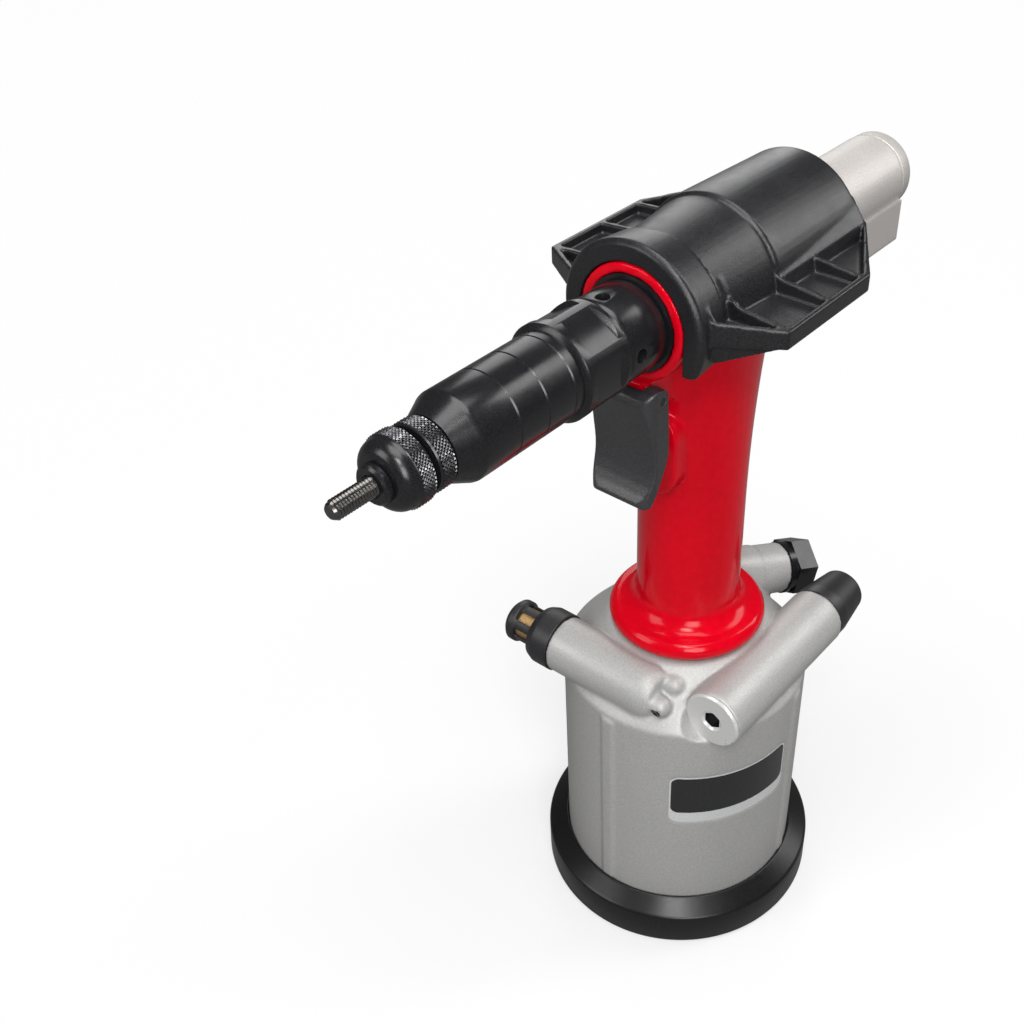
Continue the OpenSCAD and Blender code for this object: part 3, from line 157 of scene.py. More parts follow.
tree.links.new(path.outputs["Is Camera Ray"], tint.inputs["Factor"])
tree.links.new(tint.outputs["Result"], paper.inputs["Base Color"])
tree.links.new(place.outputs["Object"], distance.inputs[0])
tree.links.new(distance.outputs["Value"], fade.inputs["Value"])
seen = add_math(tree, "MULTIPLY", path.outputs["Is Camera Ray"], fade.outputs["Result"])
mirrored = add_math(tree, "MAXIMUM", path.outputs["Is Glossy Ray"], path.outputs["Is Transmission Ray"])
faint = add_math(tree, "MULTIPLY", mirrored, WHITE_MIRRORED)
tree.links.new(add_math(tree, "MAXIMUM", seen, faint), blend.inputs["Fac"])
tree.links.new(paper.outputs[0], blend.inputs[1])
tree.links.new(white.outputs[0], blend.inputs[2])
tree.links.new(blend.outputs[0], tree.nodes["Material Output"].inputs["Surface"])
floor.data.materials.append(floor_paint)
print("floor paint with", len(tree.nodes), "nodes")

# %% [markdown]
# ## The lamps
# Most light comes from large soft lamps, so that the red enamel and the black barrel
# show long, calm highlights instead of dots. A smaller lamp above the camera works as a flash.

# %% Hang the lamps
AIM = (-0.02, 0, 0.18)


def hang_lamp(name, stand, width, height, watts):
    lamp = bpy.data.lights.new(name, "AREA")
    lamp.shape = "RECTANGLE"
    lamp.size, lamp.size_y, lamp.energy = width, height, watts
    holder = bpy.data.objects.new(name, lamp)
    scene.collection.objects.link(holder)
    holder.location = stand
    holder.rotation_euler = (Vector(AIM) - Vector(stand)).to_track_quat("-Z", "Y").to_euler()


hang_lamp("soft_top", (-0.1, -0.05, 1.4), 0.8, 0.8, 12.5)
hang_lamp("soft_flash", (-0.62, -0.46, 1.15), 0.3, 0.3, 6)
hang_lamp("soft_front", (-0.8, -0.85, 0.7), 0.5, 0.6, 10)
hang_lamp("soft_key", (-1.0, 0.5, 0.8), 0.5, 0.7, 5.5)
hang_lamp("soft_rear", (0.8, -0.55, 0.85), 0.35, 0.9, 6)
hang_lamp("soft_fill", (0.85, 0.75, 0.75), 0.6, 0.8, 4)
print("hung", len(bpy.data.lights), "lamps")

# %% [markdown]
# ## The room
# The room gives a little even light, so that no side is quite black. Metal mirrors it somewhat
# brighter than it lights, and beyond the floor's rim the camera sees it white.

# %% Light the room
ROOM_LIGHT, ROOM_MIRRORED, ROOM_SEEN = 0.04, 0.04, 0.94
world = bpy.data.worlds.new("studio_room")
scene.world = world
world.use_nodes = True
room = world.node_tree
sky = room.nodes["Background"]
sky.inputs["Color"].default_value = (1, 1, 1, 1)
path = room.nodes.new("ShaderNodeLightPath")
mirrored = add_math(room, "MAXIMUM", path.outputs["Is Glossy Ray"], path.outputs["Is Transmission Ray"])
unseen = add_math(room, "MULTIPLY_ADD", mirrored, ROOM_MIRRORED, ROOM_LIGHT)
strength = add_math(room, "MULTIPLY_ADD", path.outputs["Is Camera Ray"], ROOM_SEEN, unseen)
room.links.new(strength, sky.inputs["Strength"])
print("room light", ROOM_LIGHT)

# %% [markdown]
# ## Shared surface effects
# Several finishes are grainy: shot-blasted castings, moulded plastic and rubber.
# Instead of drawing the same noise in each material, a node group makes it once.
# Its inputs say how fine the grain is, and it gives a mask for colour and a
# height for a Bump node.

# %% Build the grain group


def new_group(name, numbers, results):
    group = bpy.data.node_groups.new(name, "ShaderNodeTree")
    for label, value in numbers.items():
        socket = group.interface.new_socket(label, in_out="INPUT", socket_type="NodeSocketFloat")
        socket.default_value = value
    for label in results:
        group.interface.new_socket(label, in_out="OUTPUT", socket_type="NodeSocketFloat")
    return group, group.nodes.new("NodeGroupInput"), group.nodes.new("NodeGroupOutput")


GRAIN_LOW, GRAIN_HIGH = 0.32, 0.68
grain, given, result = new_group("surface_grain", {"Grains per metre": 1200, "Softness": 0.4},
                                 ["Mask", "Height"])
place = grain.nodes.new("ShaderNodeTexCoord")
fine = grain.nodes.new("ShaderNodeTexNoise")
fine.inputs["Detail"].default_value = 4
spread = grain.nodes.new("ShaderNodeMapRange")
spread.inputs["From Min"].default_value = GRAIN_LOW
spread.inputs["From Max"].default_value = GRAIN_HIGH
grain.links.new(place.outputs["Object"], fine.inputs["Vector"])
grain.links.new(given.outputs["Grains per metre"], fine.inputs["Scale"])
grain.links.new(given.outputs["Softness"], fine.inputs["Roughness"])
grain.links.new(fine.outputs["Fac"], spread.inputs["Value"])
grain.links.new(spread.outputs["Result"], result.inputs["Mask"])
grain.links.new(fine.outputs["Fac"], result.inputs["Height"])
print("group", grain.name, "with", len(grain.nodes), "nodes")

# %% [markdown]
# ## Marks of handling
# Hands and cloths leave broad, faint blotches on a tool, with finer scuffs among them. They
# change its gloss and not its colour. Painting them would take a picture for each piece, so
# two noises of different size are mixed in a second group.

# %% Build the handling group
SCRATCHES_PER_METRE, SCRATCH_SHARE = 260, 0.3
marks, given, result = new_group("handling_marks", {"Size": 30, "Contrast": 0.5}, ["Mask"])
place = marks.nodes.new("ShaderNodeTexCoord")
cloud = marks.nodes.new("ShaderNodeTexNoise")
cloud.inputs["Detail"].default_value = 5
cloud.inputs["Distortion"].default_value = 0.6
scratch = marks.nodes.new("ShaderNodeTexNoise")
scratch.inputs["Scale"].default_value = SCRATCHES_PER_METRE
scratch.inputs["Detail"].default_value = 2
mixed = marks.nodes.new("ShaderNodeMix")
mixed.inputs["Factor"].default_value = SCRATCH_SHARE
marks.links.new(place.outputs["Object"], cloud.inputs["Vector"])
marks.links.new(given.outputs["Size"], cloud.inputs["Scale"])
marks.links.new(given.outputs["Contrast"], cloud.inputs["Roughness"])
marks.links.new(place.outputs["Object"], scratch.inputs["Vector"])
marks.links.new(cloud.outputs["Fac"], mixed.inputs["A"])
marks.links.new(scratch.outputs["Fac"], mixed.inputs["B"])
marks.links.new(mixed.outputs["Result"], result.inputs["Mask"])
print("group", marks.name, "with", len(marks.nodes), "nodes")

# %% [markdown]
# ## One recipe for every finish
# Each finish is a Principled shader with two close colours, a span of roughness and a bump.
# The grain mask mixes the two colours, and the handling mask moves the roughness, so no
# surface is one flat colour. What is the same all over, such as metal or gleam, is set
# on the shader itself. The castings and the steel parts come first.

# %% Mix the metals
MARKS_LOW, MARKS_HIGH = 0.35, 0.65


def finish(name, dark, light, rough, metal=0.0, grains=1200, bump=0.1, depth=0.1, gleam=0.5):
    material = bpy.data.materials.new(name)
    material.use_nodes = True
    nodes, links = material.node_tree.nodes, material.node_tree.links
    skin = nodes["Principled BSDF"]
    skin.inputs["Metallic"].default_value = metal
    skin.inputs["Specular IOR Level"].default_value = gleam
    speckle = nodes.new("ShaderNodeGroup")
    speckle.node_tree = grain
    speckle.inputs["Grains per metre"].default_value = grains
    touch = nodes.new("ShaderNodeGroup")
    touch.node_tree = marks
    tint = nodes.new("ShaderNodeMix")
    tint.data_type = "RGBA"
    tint.inputs["A"].default_value = (*dark, 1)
    tint.inputs["B"].default_value = (*light, 1)
    gloss = nodes.new("ShaderNodeMapRange")
    gloss.inputs["From Min"].default_value = MARKS_LOW
    gloss.inputs["From Max"].default_value = MARKS_HIGH
    gloss.inputs["To Min"].default_value, gloss.inputs["To Max"].default_value = rough
    relief = nodes.new("ShaderNodeBump")
    relief.inputs["Strength"].default_value = bump
    relief.inputs["Distance"].default_value = depth * MM
    links.new(speckle.outputs["Mask"], tint.inputs["Factor"])
    links.new(tint.outputs["Result"], skin.inputs["Base Color"])
    links.new(touch.outputs["Mask"], gloss.inputs["Value"])
    links.new(gloss.outputs["Result"], skin.inputs["Roughness"])
    links.new(speckle.outputs["Height"], relief.inputs["Height"])
    links.new(relief.outputs["Normal"], skin.inputs["Normal"])
    return material


silver_cast = finish("silver_casting", (0.35, 0.347, 0.34), (0.43, 0.426, 0.414), (0.42, 0.54),
                     metal=0.25, grains=1500, bump=0.14)
motor_cast = finish("warm_casting", (0.39, 0.368, 0.35), (0.46, 0.436, 0.416), (0.4, 0.52),
                    metal=0.25, grains=1500, bump=0.14)
silver_turned = finish("turned_aluminium", (0.56, 0.557, 0.55), (0.64, 0.637, 0.63), (0.26, 0.36),
                       metal=0.3, grains=2500, bump=0.08)
black_oxide = finish("black_oxide_steel", (0.005, 0.005, 0.0058), (0.012, 0.012, 0.0135), (0.18, 0.28),
                     gleam=0.38, grains=2200, bump=0.06)
bright_knurl = finish("bright_knurl", (0.035, 0.035, 0.037), (0.12, 0.12, 0.127), (0.16, 0.28),
                      metal=1.0, grains=1800, bump=0.05)
ground_steel = finish("ground_steel", (0.42, 0.42, 0.43), (0.56, 0.56, 0.57), (0.2, 0.34),
                      metal=1.0, grains=2400, bump=0.06)
mandrel_steel = finish("mandrel_steel", (0.12, 0.114, 0.108), (0.17, 0.162, 0.154), (0.2, 0.28),
                       metal=1.0, bump=0.03)
bronze_grains = finish("sintered_bronze", (0.34, 0.2, 0.08), (0.62, 0.42, 0.2), (0.4, 0.6),
                       metal=0.8, grains=2600, bump=0.8, depth=0.4)
print("mixed", len(bpy.data.materials), "materials so far")

# %% [markdown]
# ## Paint, plastic and rubber
# The grip is enamelled a clear red. The head cover and the trigger are moulded with a strong grain, the
# small caps with a weak one, and the trigger is a little paler than both. The same recipe
# makes them all, and only the label's silver sheet has metal in it.

# %% Mix paint, plastic and rubber
red_enamel = finish("red_enamel", (0.55, 0.0006, 0.009), (0.60, 0.0009, 0.011), (0.1, 0.18),
                    gleam=0.17, grains=350, bump=0.04)
grained_plastic = finish("grained_black_plastic", (0.005, 0.005, 0.0056), (0.018, 0.018, 0.02), (0.3, 0.42),
                         gleam=0.38, grains=2000, bump=0.3, depth=0.15)
smooth_plastic = finish("smooth_black_plastic", (0.006, 0.006, 0.007), (0.017, 0.017, 0.0187), (0.4, 0.52),
                        grains=1800, bump=0.15)
trigger_plastic = finish("trigger_plastic", (0.014, 0.014, 0.0155), (0.028, 0.028, 0.031), (0.36, 0.46),
                         gleam=0.8, grains=1600, bump=0.3, depth=0.15)
foot_rubber = finish("foot_rubber", (0.004, 0.004, 0.0044), (0.009, 0.009, 0.01), (0.27, 0.33),
                     gleam=0.32, grains=1600, bump=0.2)
seal_black = finish("seal_rubber", (0.012, 0.012, 0.012), (0.02, 0.02, 0.02), (0.4, 0.5), grains=1400)
vane_fibre = finish("vane_fibre", (0.24, 0.15, 0.08), (0.38, 0.26, 0.15), (0.5, 0.65), grains=900, bump=0.2)
label_black = finish("label_black", (0.010, 0.010, 0.011), (0.016, 0.016, 0.017), (0.22, 0.32),
                     grains=1500, bump=0.03)
label_silver = finish("label_silver", (0.62, 0.625, 0.63), (0.7, 0.705, 0.71), (0.28, 0.4),
                      metal=0.3, grains=1500, bump=0.03)
print("mixed", len(bpy.data.materials), "materials in all")

# %% [markdown]
# ## Paint the solids that stay
# Most inner pieces and small fittings have the right shape already, so they only get a finish.
# The record names a material slot for each solid, and the slot decides.
# The key socket in the valve plug gets painted shade: its faces are found by their place and
# get a second, dark finish that stands for the shade inside the socket.

# %% Give every solid its finish
SOCKET_R, SOCKET_FROM, SOCKET_TO = 3.8, 0.9, 5
slot_finish = {"foot_rubber": foot_rubber, "cast_aluminium": silver_cast, "machined_steel": ground_steel,
               "black_oxide_steel": black_oxide, "black_plastic": smooth_plastic, "red_paint": red_enamel,
               "sintered_bronze": bronze_grains, "seal_rubber": seal_black, "vane_composite": vane_fibre}
node_finish = {"valve_plug": silver_turned, "motor_end_cap": silver_turned, "mandrel": mandrel_steel,
               "front_gland": black_oxide, "trigger_pin": black_oxide}
slot_of = {part["node"]: part["material_slot"] for part in frame["record"]["subparts"]}
for node, solid in frame["nodes"].items():
    solid.data.materials.clear()
    solid.data.materials.append(node_finish.get(node, slot_finish[slot_of[node]]))

plug = frame["nodes"]["valve_plug"].data
# Painted shade: the faces inside the key socket take the dark black steel finish.
plug.materials.append(black_oxide)
plug_low, plug_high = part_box("valve_plug")
plug_mid = (plug_low + plug_high) / 2
for face in plug.polygons:
    off = math.hypot(face.center.y - plug_mid.y, face.center.z - plug_mid.z) / MM
    if off < SOCKET_R and SOCKET_FROM < (face.center.x - plug_low.x) / MM < SOCKET_TO:
        face.material_index = 1
print("painted", len(frame["nodes"]), "solids")

# %% [markdown]
# ## Castings and mouldings with soft edges
# A casting has no sharp edge: metal shrinks and corners round off, and where a tube meets the
# cylinder there is a small fillet. Bevelling every edge of a complicated solid by hand
# often fails at the corners. A copy of the solid is instead rebuilt from small voxels
# and smoothed, which rounds every edge and fills every inner corner alike.

# %% Rebuild the castings with soft edges
MERGE = 0.01


def only(piece):
    bpy.ops.object.select_all(action="DESELECT")
    piece.select_set(True)
    bpy.context.view_layer.objects.active = piece


def apply_modifier(piece, kind, **settings):
    only(piece)
    step = piece.modifiers.new(kind.lower(), kind)
    for label, value in settings.items():
        setattr(step, label, value)
    bpy.ops.object.modifier_apply(modifier=step.name)


def cut(piece, *cutters, operation="DIFFERENCE"):
    for cutter in cutters:
        apply_modifier(piece, "BOOLEAN", operation=operation, object=cutter, solver="EXACT")
        bpy.data.objects.remove(cutter)


def merged_copy(name, node):
    piece = bpy.data.objects.new(name, frame["nodes"][node].data.copy())
    scene.collection.objects.link(piece)
    only(piece)
    bpy.ops.object.mode_set(mode="EDIT")
    bpy.ops.mesh.select_all(action="SELECT")
    bpy.ops.mesh.remove_doubles(threshold=MERGE * MM)
    bpy.ops.object.mode_set(mode="OBJECT")
    return piece


def dress(piece, node, material, body="tool"):
    piece.data.materials.clear()
    piece.data.materials.append(material)
    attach(piece, body)
    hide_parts(node)
    print(piece.name, len(piece.data.polygons), "faces for", node)


def soft_casting(name, node, voxel, passes, keep, material, body="tool", cutters=()):
    piece = merged_copy(name, node)
    cut(piece, *cutters)
    apply_modifier(piece, "REMESH", mode="VOXEL", voxel_size=voxel * MM)
    apply_modifier(piece, "SMOOTH", factor=0.5, iterations=passes)
    apply_modifier(piece, "DECIMATE", ratio=keep)
    only(piece)
    bpy.ops.object.shade_smooth()
    dress(piece, node, material, body)


soft_casting("cast_cylinder", "air_cylinder", 0.8, 4, 0.4, silver_cast)
soft_casting("red_handle", "handle", 0.7, 10, 0.4, red_enamel)
soft_casting("finger_trigger", "trigger", 0.35, 24, 0.5, trigger_plastic, "trigger")
soft_casting("motor_barrel", "motor_housing", 0.6, 3, 0.4, motor_cast)
soft_casting("valve_end_cap", "valve_cap", 0.4, 6, 0.5, smooth_plastic)
soft_casting("exhaust_end_cap", "exhaust_cap", 0.35, 3, 0.5, smooth_plastic)

# %% [markdown]
# ## The winged cover
# On the real cover the first rib of each wing ends low at the saddle. In the solid it goes on as a
# thin fin over the waist. Deleting faces would leave a hole, so the fin is cut from the copy
# by a ring round the head axis, from which the waist itself and everything below the rib's
# end were taken away first. The copy is then rebuilt and smoothed like the castings.

# %% Trim the first ribs and rebuild the cover
AXIS_Z = (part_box("nose_barrel")[0].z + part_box("nose_barrel")[1].z) / 2
RIB_X, RIB_TOP = -19.5, 8.5
WAIST_R, WAIST_WIDTH = 24.95, 8
FIN_R, FIN_WIDTH = 34, 3.4
BELOW_WIDTH, BELOW_HEIGHT = 80, 60


def add_disc(radius, depth, x):
    bpy.ops.object.select_all(action="DESELECT")
    bpy.ops.mesh.primitive_cylinder_add(vertices=128, radius=radius * MM, depth=depth * MM,
                                        location=(x * MM, 0, AXIS_Z), rotation=(0, math.radians(90), 0))
    bpy.ops.object.transform_apply(location=True, rotation=True, scale=True)
    return bpy.context.object


def add_block(middle, size, rotation=(0, 0, 0)):
    bpy.ops.object.select_all(action="DESELECT")
    bpy.ops.mesh.primitive_cube_add(size=1, location=middle, rotation=rotation, scale=Vector(size) * MM)
    bpy.ops.object.transform_apply(location=True, rotation=True, scale=True)
    return bpy.context.object


fin_ring = add_disc(FIN_R, FIN_WIDTH, RIB_X)
waist = add_disc(WAIST_R, WAIST_WIDTH, RIB_X)
below = add_block((RIB_X * MM, 0, AXIS_Z + (RIB_TOP - BELOW_HEIGHT / 2) * MM),
                  (WAIST_WIDTH, BELOW_WIDTH, BELOW_HEIGHT))
cut(fin_ring, waist, below)
soft_casting("winged_cover", "head_cover", 0.55, 5, 0.5, grained_plastic, cutters=[fin_ring])

# %% [markdown]
# ## Turned pieces, ring by ring
# The nose, the foot and the motor's cap were turned or moulded round an axis. They start as one
# round disc. The disc is extruded along the axis and scaled, again and again, just as a
# lathe drawing gives a length and a radius for each step. A small bevel can then break the edges.
# The foot comes first: a rubber ring with a sloping shoulder, into which the cylinder is set.

# %% Turn the foot


def shade_by_angle(piece, degrees=35):
    only(piece)
    bpy.ops.object.shade_smooth_by_angle(angle=math.radians(degrees))


def break_edges(piece, width, degrees):
    apply_modifier(piece, "BEVEL", width=width * MM, segments=2, limit_method="ANGLE",
                   angle_limit=math.radians(degrees))


def turn(name, origin, heading, rings, vertices=96, bevel=0):
    heading = Vector(heading)
    tilt = heading.to_track_quat("Z", "Y").to_euler()
    bpy.ops.object.select_all(action="DESELECT")
    reach, radius = rings[0]
    bpy.ops.mesh.primitive_circle_add(vertices=vertices, radius=radius * MM, fill_type="NGON",
                                      location=Vector(origin) + heading * reach * MM, rotation=tilt)
    piece = bpy.context.object
    piece.name = piece.data.name = name
    bpy.ops.object.transform_apply(location=True, rotation=True, scale=True)
    bpy.ops.object.mode_set(mode="EDIT")
    bpy.ops.mesh.select_all(action="SELECT")
    for next_reach, next_radius in rings[1:]:
        step = heading * (next_reach - reach) * MM
        bpy.ops.mesh.extrude_region_move(TRANSFORM_OT_translate={"value": step})
        grow = next_radius / radius
        bpy.ops.transform.resize(value=(grow, grow, grow),
                                 center_override=Vector(origin) + heading * next_reach * MM)
        reach, radius = next_reach, next_radius
    bpy.ops.mesh.select_all(action="SELECT")
    bpy.ops.mesh.normals_make_consistent(inside=False)
    bpy.ops.object.mode_set(mode="OBJECT")
    if bevel:
        break_edges(piece, bevel, 25)
    shade_by_angle(piece)
    return piece


foot_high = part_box("foot_ring")[1]
foot_r, foot_h = foot_high.x / MM, foot_high.z / MM
seat_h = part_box("air_cylinder")[0].z / MM
SEAT_R, SHOULDER = 49.7, 4.0
foot = turn("rubber_foot", (0, 0, 0), (0, 0, 1),
            [(0, foot_r - 1.4), (0.5, foot_r - 0.5), (1.6, foot_r), (foot_h - SHOULDER - 1.4, foot_r),
             (foot_h - SHOULDER - 0.6, foot_r - 0.4), (foot_h - SHOULDER, foot_r - 1.2),
             (foot_h - 0.5, SEAT_R + 1.6), (foot_h, SEAT_R + 0.9), (foot_h, SEAT_R + 0.1),
             (seat_h, SEAT_R + 0.05)], vertices=160, bevel=0.25)
dress(foot, "foot_ring", foot_rubber)

# %% [markdown]
# ## The nose barrel
# A long black steel tube with a thicker rear end, three thin lines round it and a cone at the
# front. Its outline also goes down the bore, where the anvil nut and the head are screwed in, so
# that one turned piece has both its walls. Each line has a slope and a steep side, which catch
# the light unlike each other.

# %% Turn the barrel
FORWARD = (-1, 0, 0)
HEAD_AXIS = (0, 0, AXIS_Z)
BARREL_R, FLATS_R, FLATS_LENGTH, CHAMFER = 14.2, 16, 20, 0.8
LINES, LINE_FIRST, LINE_PITCH, LINE_R = 3, 3.8, 11.7, 13.85
CONE_LENGTH, CONE_BACK_R, CONE_TIP_R = 6.4, 13.5, 10.5
NOSE_THREAD_R, NOSE_THREAD_LENGTH, BARREL_BORE_R = 11.03, 8, 10.0
ANVIL_THREAD_R, ANVIL_THREAD_LENGTH = 6.55, 14.5


def reach_of(node):
    node_low, node_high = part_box(node)
    return -node_high.x / MM, -node_low.x / MM


barrel_back, barrel_tip = reach_of("nose_barrel")
flats_end = barrel_back + FLATS_LENGTH
rings = [(barrel_back, FLATS_R - CHAMFER), (barrel_back + CHAMFER, FLATS_R), (flats_end - CHAMFER, FLATS_R),
         (flats_end, FLATS_R - CHAMFER), (flats_end + 0.4, BARREL_R)]
for line in range(LINES):
    at = flats_end + LINE_FIRST + LINE_PITCH * line
    rings += [(at, BARREL_R), (at + 0.45, LINE_R), (at + 0.6, LINE_R), (at + 0.7, BARREL_R)]
rings += [(barrel_tip - CONE_LENGTH - 1.8, BARREL_R), (barrel_tip - CONE_LENGTH - 1.0, BARREL_R - 0.2),
          (barrel_tip - CONE_LENGTH, CONE_BACK_R), (barrel_tip, CONE_TIP_R)]
bore_front, bore_back = barrel_tip - ANVIL_THREAD_LENGTH, barrel_back + NOSE_THREAD_LENGTH
rings += [(barrel_tip, ANVIL_THREAD_R), (bore_front, ANVIL_THREAD_R), (bore_front, BARREL_BORE_R),
          (bore_back, BARREL_BORE_R), (bore_back, NOSE_THREAD_R), (barrel_back, NOSE_THREAD_R)]
barrel = turn("nose_tube", HEAD_AXIS, FORWARD, rings)
print("barrel from", round(barrel_back, 1), "to", round(barrel_tip, 1), "mm ahead of the foot's middle")

# %% [markdown]
# ## The barrel's flats
# A spanner holds the barrel by six flats at its rear. They are cut with a Boolean, because a flat
# on a round bar is exactly what is left when a straight tool passes it. The cutting block's
# ends slope, which leaves the bright crescents that a milled flat has.

# %% Mill the barrel's flats
FLATS, FLAT_MID, FLAT_R, FLAT_SLOPE = 6, 9.5, 14.5, 1.5
FLAT_BLOCK = (15, 30, 10)


def on_head(reach, out, radius):
    return Vector((-reach * MM, 0, AXIS_Z)) + out * radius * MM


flat_cutters = []
for flat in range(FLATS):
    angle = math.radians(360 / FLATS * (flat + 0.5))
    out = Vector((0, math.sin(angle), math.cos(angle)))
    block = add_block(on_head(barrel_back + FLAT_MID, out, FLAT_R + FLAT_BLOCK[2] / 2), FLAT_BLOCK,
                      rotation=(-angle, 0, 0))
    for edge in block.data.edges:
        one, two = (block.data.vertices[corner].co for corner in edge.vertices)
        inner_edge = (one + two).dot(out) / 2 - AXIS_Z * out.z < (FLAT_R + 0.5) * MM
        edge.select = inner_edge and abs(one.x - two.x) < 1 * MM
    bpy.ops.object.mode_set(mode="EDIT")
    bpy.ops.mesh.select_mode(type="EDGE")
    bpy.ops.mesh.bevel(offset=FLAT_SLOPE * MM, segments=1)
    bpy.ops.object.mode_set(mode="OBJECT")
    flat_cutters.append(block)
cut(barrel, *flat_cutters)
break_edges(barrel, 0.15, 28)
shade_by_angle(barrel, 30)
dress(barrel, "nose_barrel", black_oxide)

# %% [markdown]
# ## The collar behind it
# The collar holds the barrel to the head. It is turned by hand with a pin spanner, which needs round
# holes in its side. No outline that is turned round an axis has such holes, so they are
# drilled afterwards, one by one, as in the workshop.

# %% Turn the collar and drill it
COLLAR_R, DRILL_DEPTH, DRILL_MID = 15, 6, 15.2
HOLES, HOLE_R, HOLE_AT = 4, 2.3, 12.95
collar_back, collar_front = reach_of("nose_collar")
collar = turn("spanner_collar", HEAD_AXIS, FORWARD,
              [(collar_back, COLLAR_R - CHAMFER), (collar_back + CHAMFER, COLLAR_R),
               (collar_front - 2.4, COLLAR_R), (collar_front - 1.2, COLLAR_R - 0.4),
               (collar_front, COLLAR_R - 1.5), (collar_front, NOSE_THREAD_R), (collar_back, NOSE_THREAD_R)])
for hole in range(HOLES):
    angle = math.radians(360 / HOLES * hole)
    out = Vector((0, math.sin(angle), math.cos(angle)))
    bpy.ops.object.select_all(action="DESELECT")
    bpy.ops.mesh.primitive_cylinder_add(vertices=32, radius=HOLE_R * MM, depth=DRILL_DEPTH * MM,
                                        location=on_head(collar_back + HOLE_AT, out, DRILL_MID),
                                        rotation=(-angle, 0, 0))
    bpy.ops.object.transform_apply(location=True, rotation=True, scale=True)
    cut(collar, bpy.context.object)
break_edges(collar, 0.2, 28)
shade_by_angle(collar, 30)
dress(collar, "nose_collar", black_oxide)

# %% [markdown]
# ## Knurled rings
# The lock ring and the anvil nut are gripped with the fingers, so their rims are knurled. A knurl is
# a field of small pyramids on diamonds. The rim is turned with square faces. Poke Faces puts a cross
# in each square, and dissolving the squares' own edges leaves diamonds. A second Poke Faces
# lifts the middle of each diamond.

# %% Knurl the lock ring
KNURL_ROWS, KNURL_LIFT = 4, 0.35


def knurl_steps(start, end, radius):
    return [(start + (end - start) * row / KNURL_ROWS, radius) for row in range(KNURL_ROWS + 1)]


def pick_nothing(kind):
    bpy.ops.mesh.select_mode(type=kind)
    bpy.ops.mesh.select_all(action="DESELECT")
    bpy.ops.object.mode_set(mode="OBJECT")


def pick_rim(piece, start, end):
    for face in piece.data.polygons:
        radial = Vector((0, face.center.y, face.center.z - AXIS_Z)).normalized()
        face.select = start < -face.center.x / MM < end and face.normal.dot(radial) > 0.9
    return [face for face in piece.data.polygons if face.select]


def knurl(piece, start, end):
    only(piece)
    bpy.ops.object.mode_set(mode="EDIT")
    pick_nothing("FACE")
    shared = {}
    for face in pick_rim(piece, start, end):
        for key in face.edge_keys:
            shared[key] = shared.get(key, 0) + 1
    bpy.ops.object.mode_set(mode="EDIT")
    bpy.ops.mesh.poke(offset=0)
    pick_nothing("EDGE")
    for edge in piece.data.edges:
        edge.select = shared.get(edge.key, 0) == 2
    bpy.ops.object.mode_set(mode="EDIT")
    bpy.ops.mesh.dissolve_edges(use_verts=False)
    pick_nothing("FACE")
    pyramids = len(pick_rim(piece, start, end))
    bpy.ops.object.mode_set(mode="EDIT")
    bpy.ops.mesh.poke(offset=KNURL_LIFT * MM)
    bpy.ops.mesh.faces_shade_flat()
    piece.data.materials.append(bright_knurl)
    piece.active_material_index = 1
    bpy.ops.object.material_slot_assign()
    bpy.ops.object.mode_set(mode="OBJECT")
    print(piece.name, pyramids, "pyramids")


LOCK_RIM_R, LOCK_EDGE, LOCK_EDGE_R = 10.55, 0.5, 10.2
lock_back, lock_front = reach_of("lock_ring")
lock_knurl = lock_back + LOCK_EDGE, lock_front - LOCK_EDGE
lock = turn("knurled_lock_ring", HEAD_AXIS, FORWARD,
            [(lock_back, LOCK_EDGE_R)] + knurl_steps(*lock_knurl, LOCK_RIM_R) +
            [(lock_front, LOCK_EDGE_R), (lock_front, ANVIL_THREAD_R), (lock_back, ANVIL_THREAD_R)],
            vertices=52)
dress(lock, "lock_ring", black_oxide, "lock")
knurl(lock, *lock_knurl)

# %% [markdown]
# ## The anvil nut
# The rivet nut is pressed against this piece. Its rear end is a thread, then follow a short step, the
# knurled rim, a dome and a small nozzle. The dome could be typed in ring by ring, but a
# loop round a quarter of an ellipse keeps it smooth at any size.

# %% Turn and knurl the anvil nut
ANVIL_REAR_R, STEP_R, STEP_LENGTH, MANDREL_HOLE_R = 6.5, 7.9, 1.7, 3.05
RIM_R, RIM_BACK, RIM_FRONT, RIM_EDGE = 11.1, 13.3, 7.7, 0.4
DOME_LENGTH, DOME_TIP_R, DOME_RISE = 4.7, 6.7, 4.1
NOZZLE_R = 6.0
anvil_back, anvil_front = reach_of("anvil_nut")
rim_back, rim_front = anvil_front - RIM_BACK, anvil_front - RIM_FRONT
dome = [(rim_front + DOME_LENGTH * math.sin(angle), DOME_TIP_R + DOME_RISE * math.cos(angle))
        for angle in map(math.radians, range(0, 91, 10))]
anvil = turn("knurled_anvil_nut", HEAD_AXIS, FORWARD,
             [(anvil_back, ANVIL_REAR_R), (rim_back - STEP_LENGTH, ANVIL_REAR_R),
              (rim_back - STEP_LENGTH, STEP_R), (rim_back, STEP_R), (rim_back, DOME_TIP_R + DOME_RISE)] +
             knurl_steps(rim_back + RIM_EDGE, rim_front - 0.5, RIM_R) + dome +
             [(anvil_front - 2.9, NOZZLE_R - 0.6), (anvil_front - 2.4, NOZZLE_R),
              (anvil_front - 0.7, NOZZLE_R), (anvil_front, NOZZLE_R - 0.7), (anvil_front, 3.5),
              (anvil_front - 0.4, MANDREL_HOLE_R), (anvil_back, MANDREL_HOLE_R)], vertices=56)
dress(anvil, "anvil_nut", black_oxide, "anvil")
knurl(anvil, rim_back + RIM_EDGE, rim_front - RIM_EDGE)

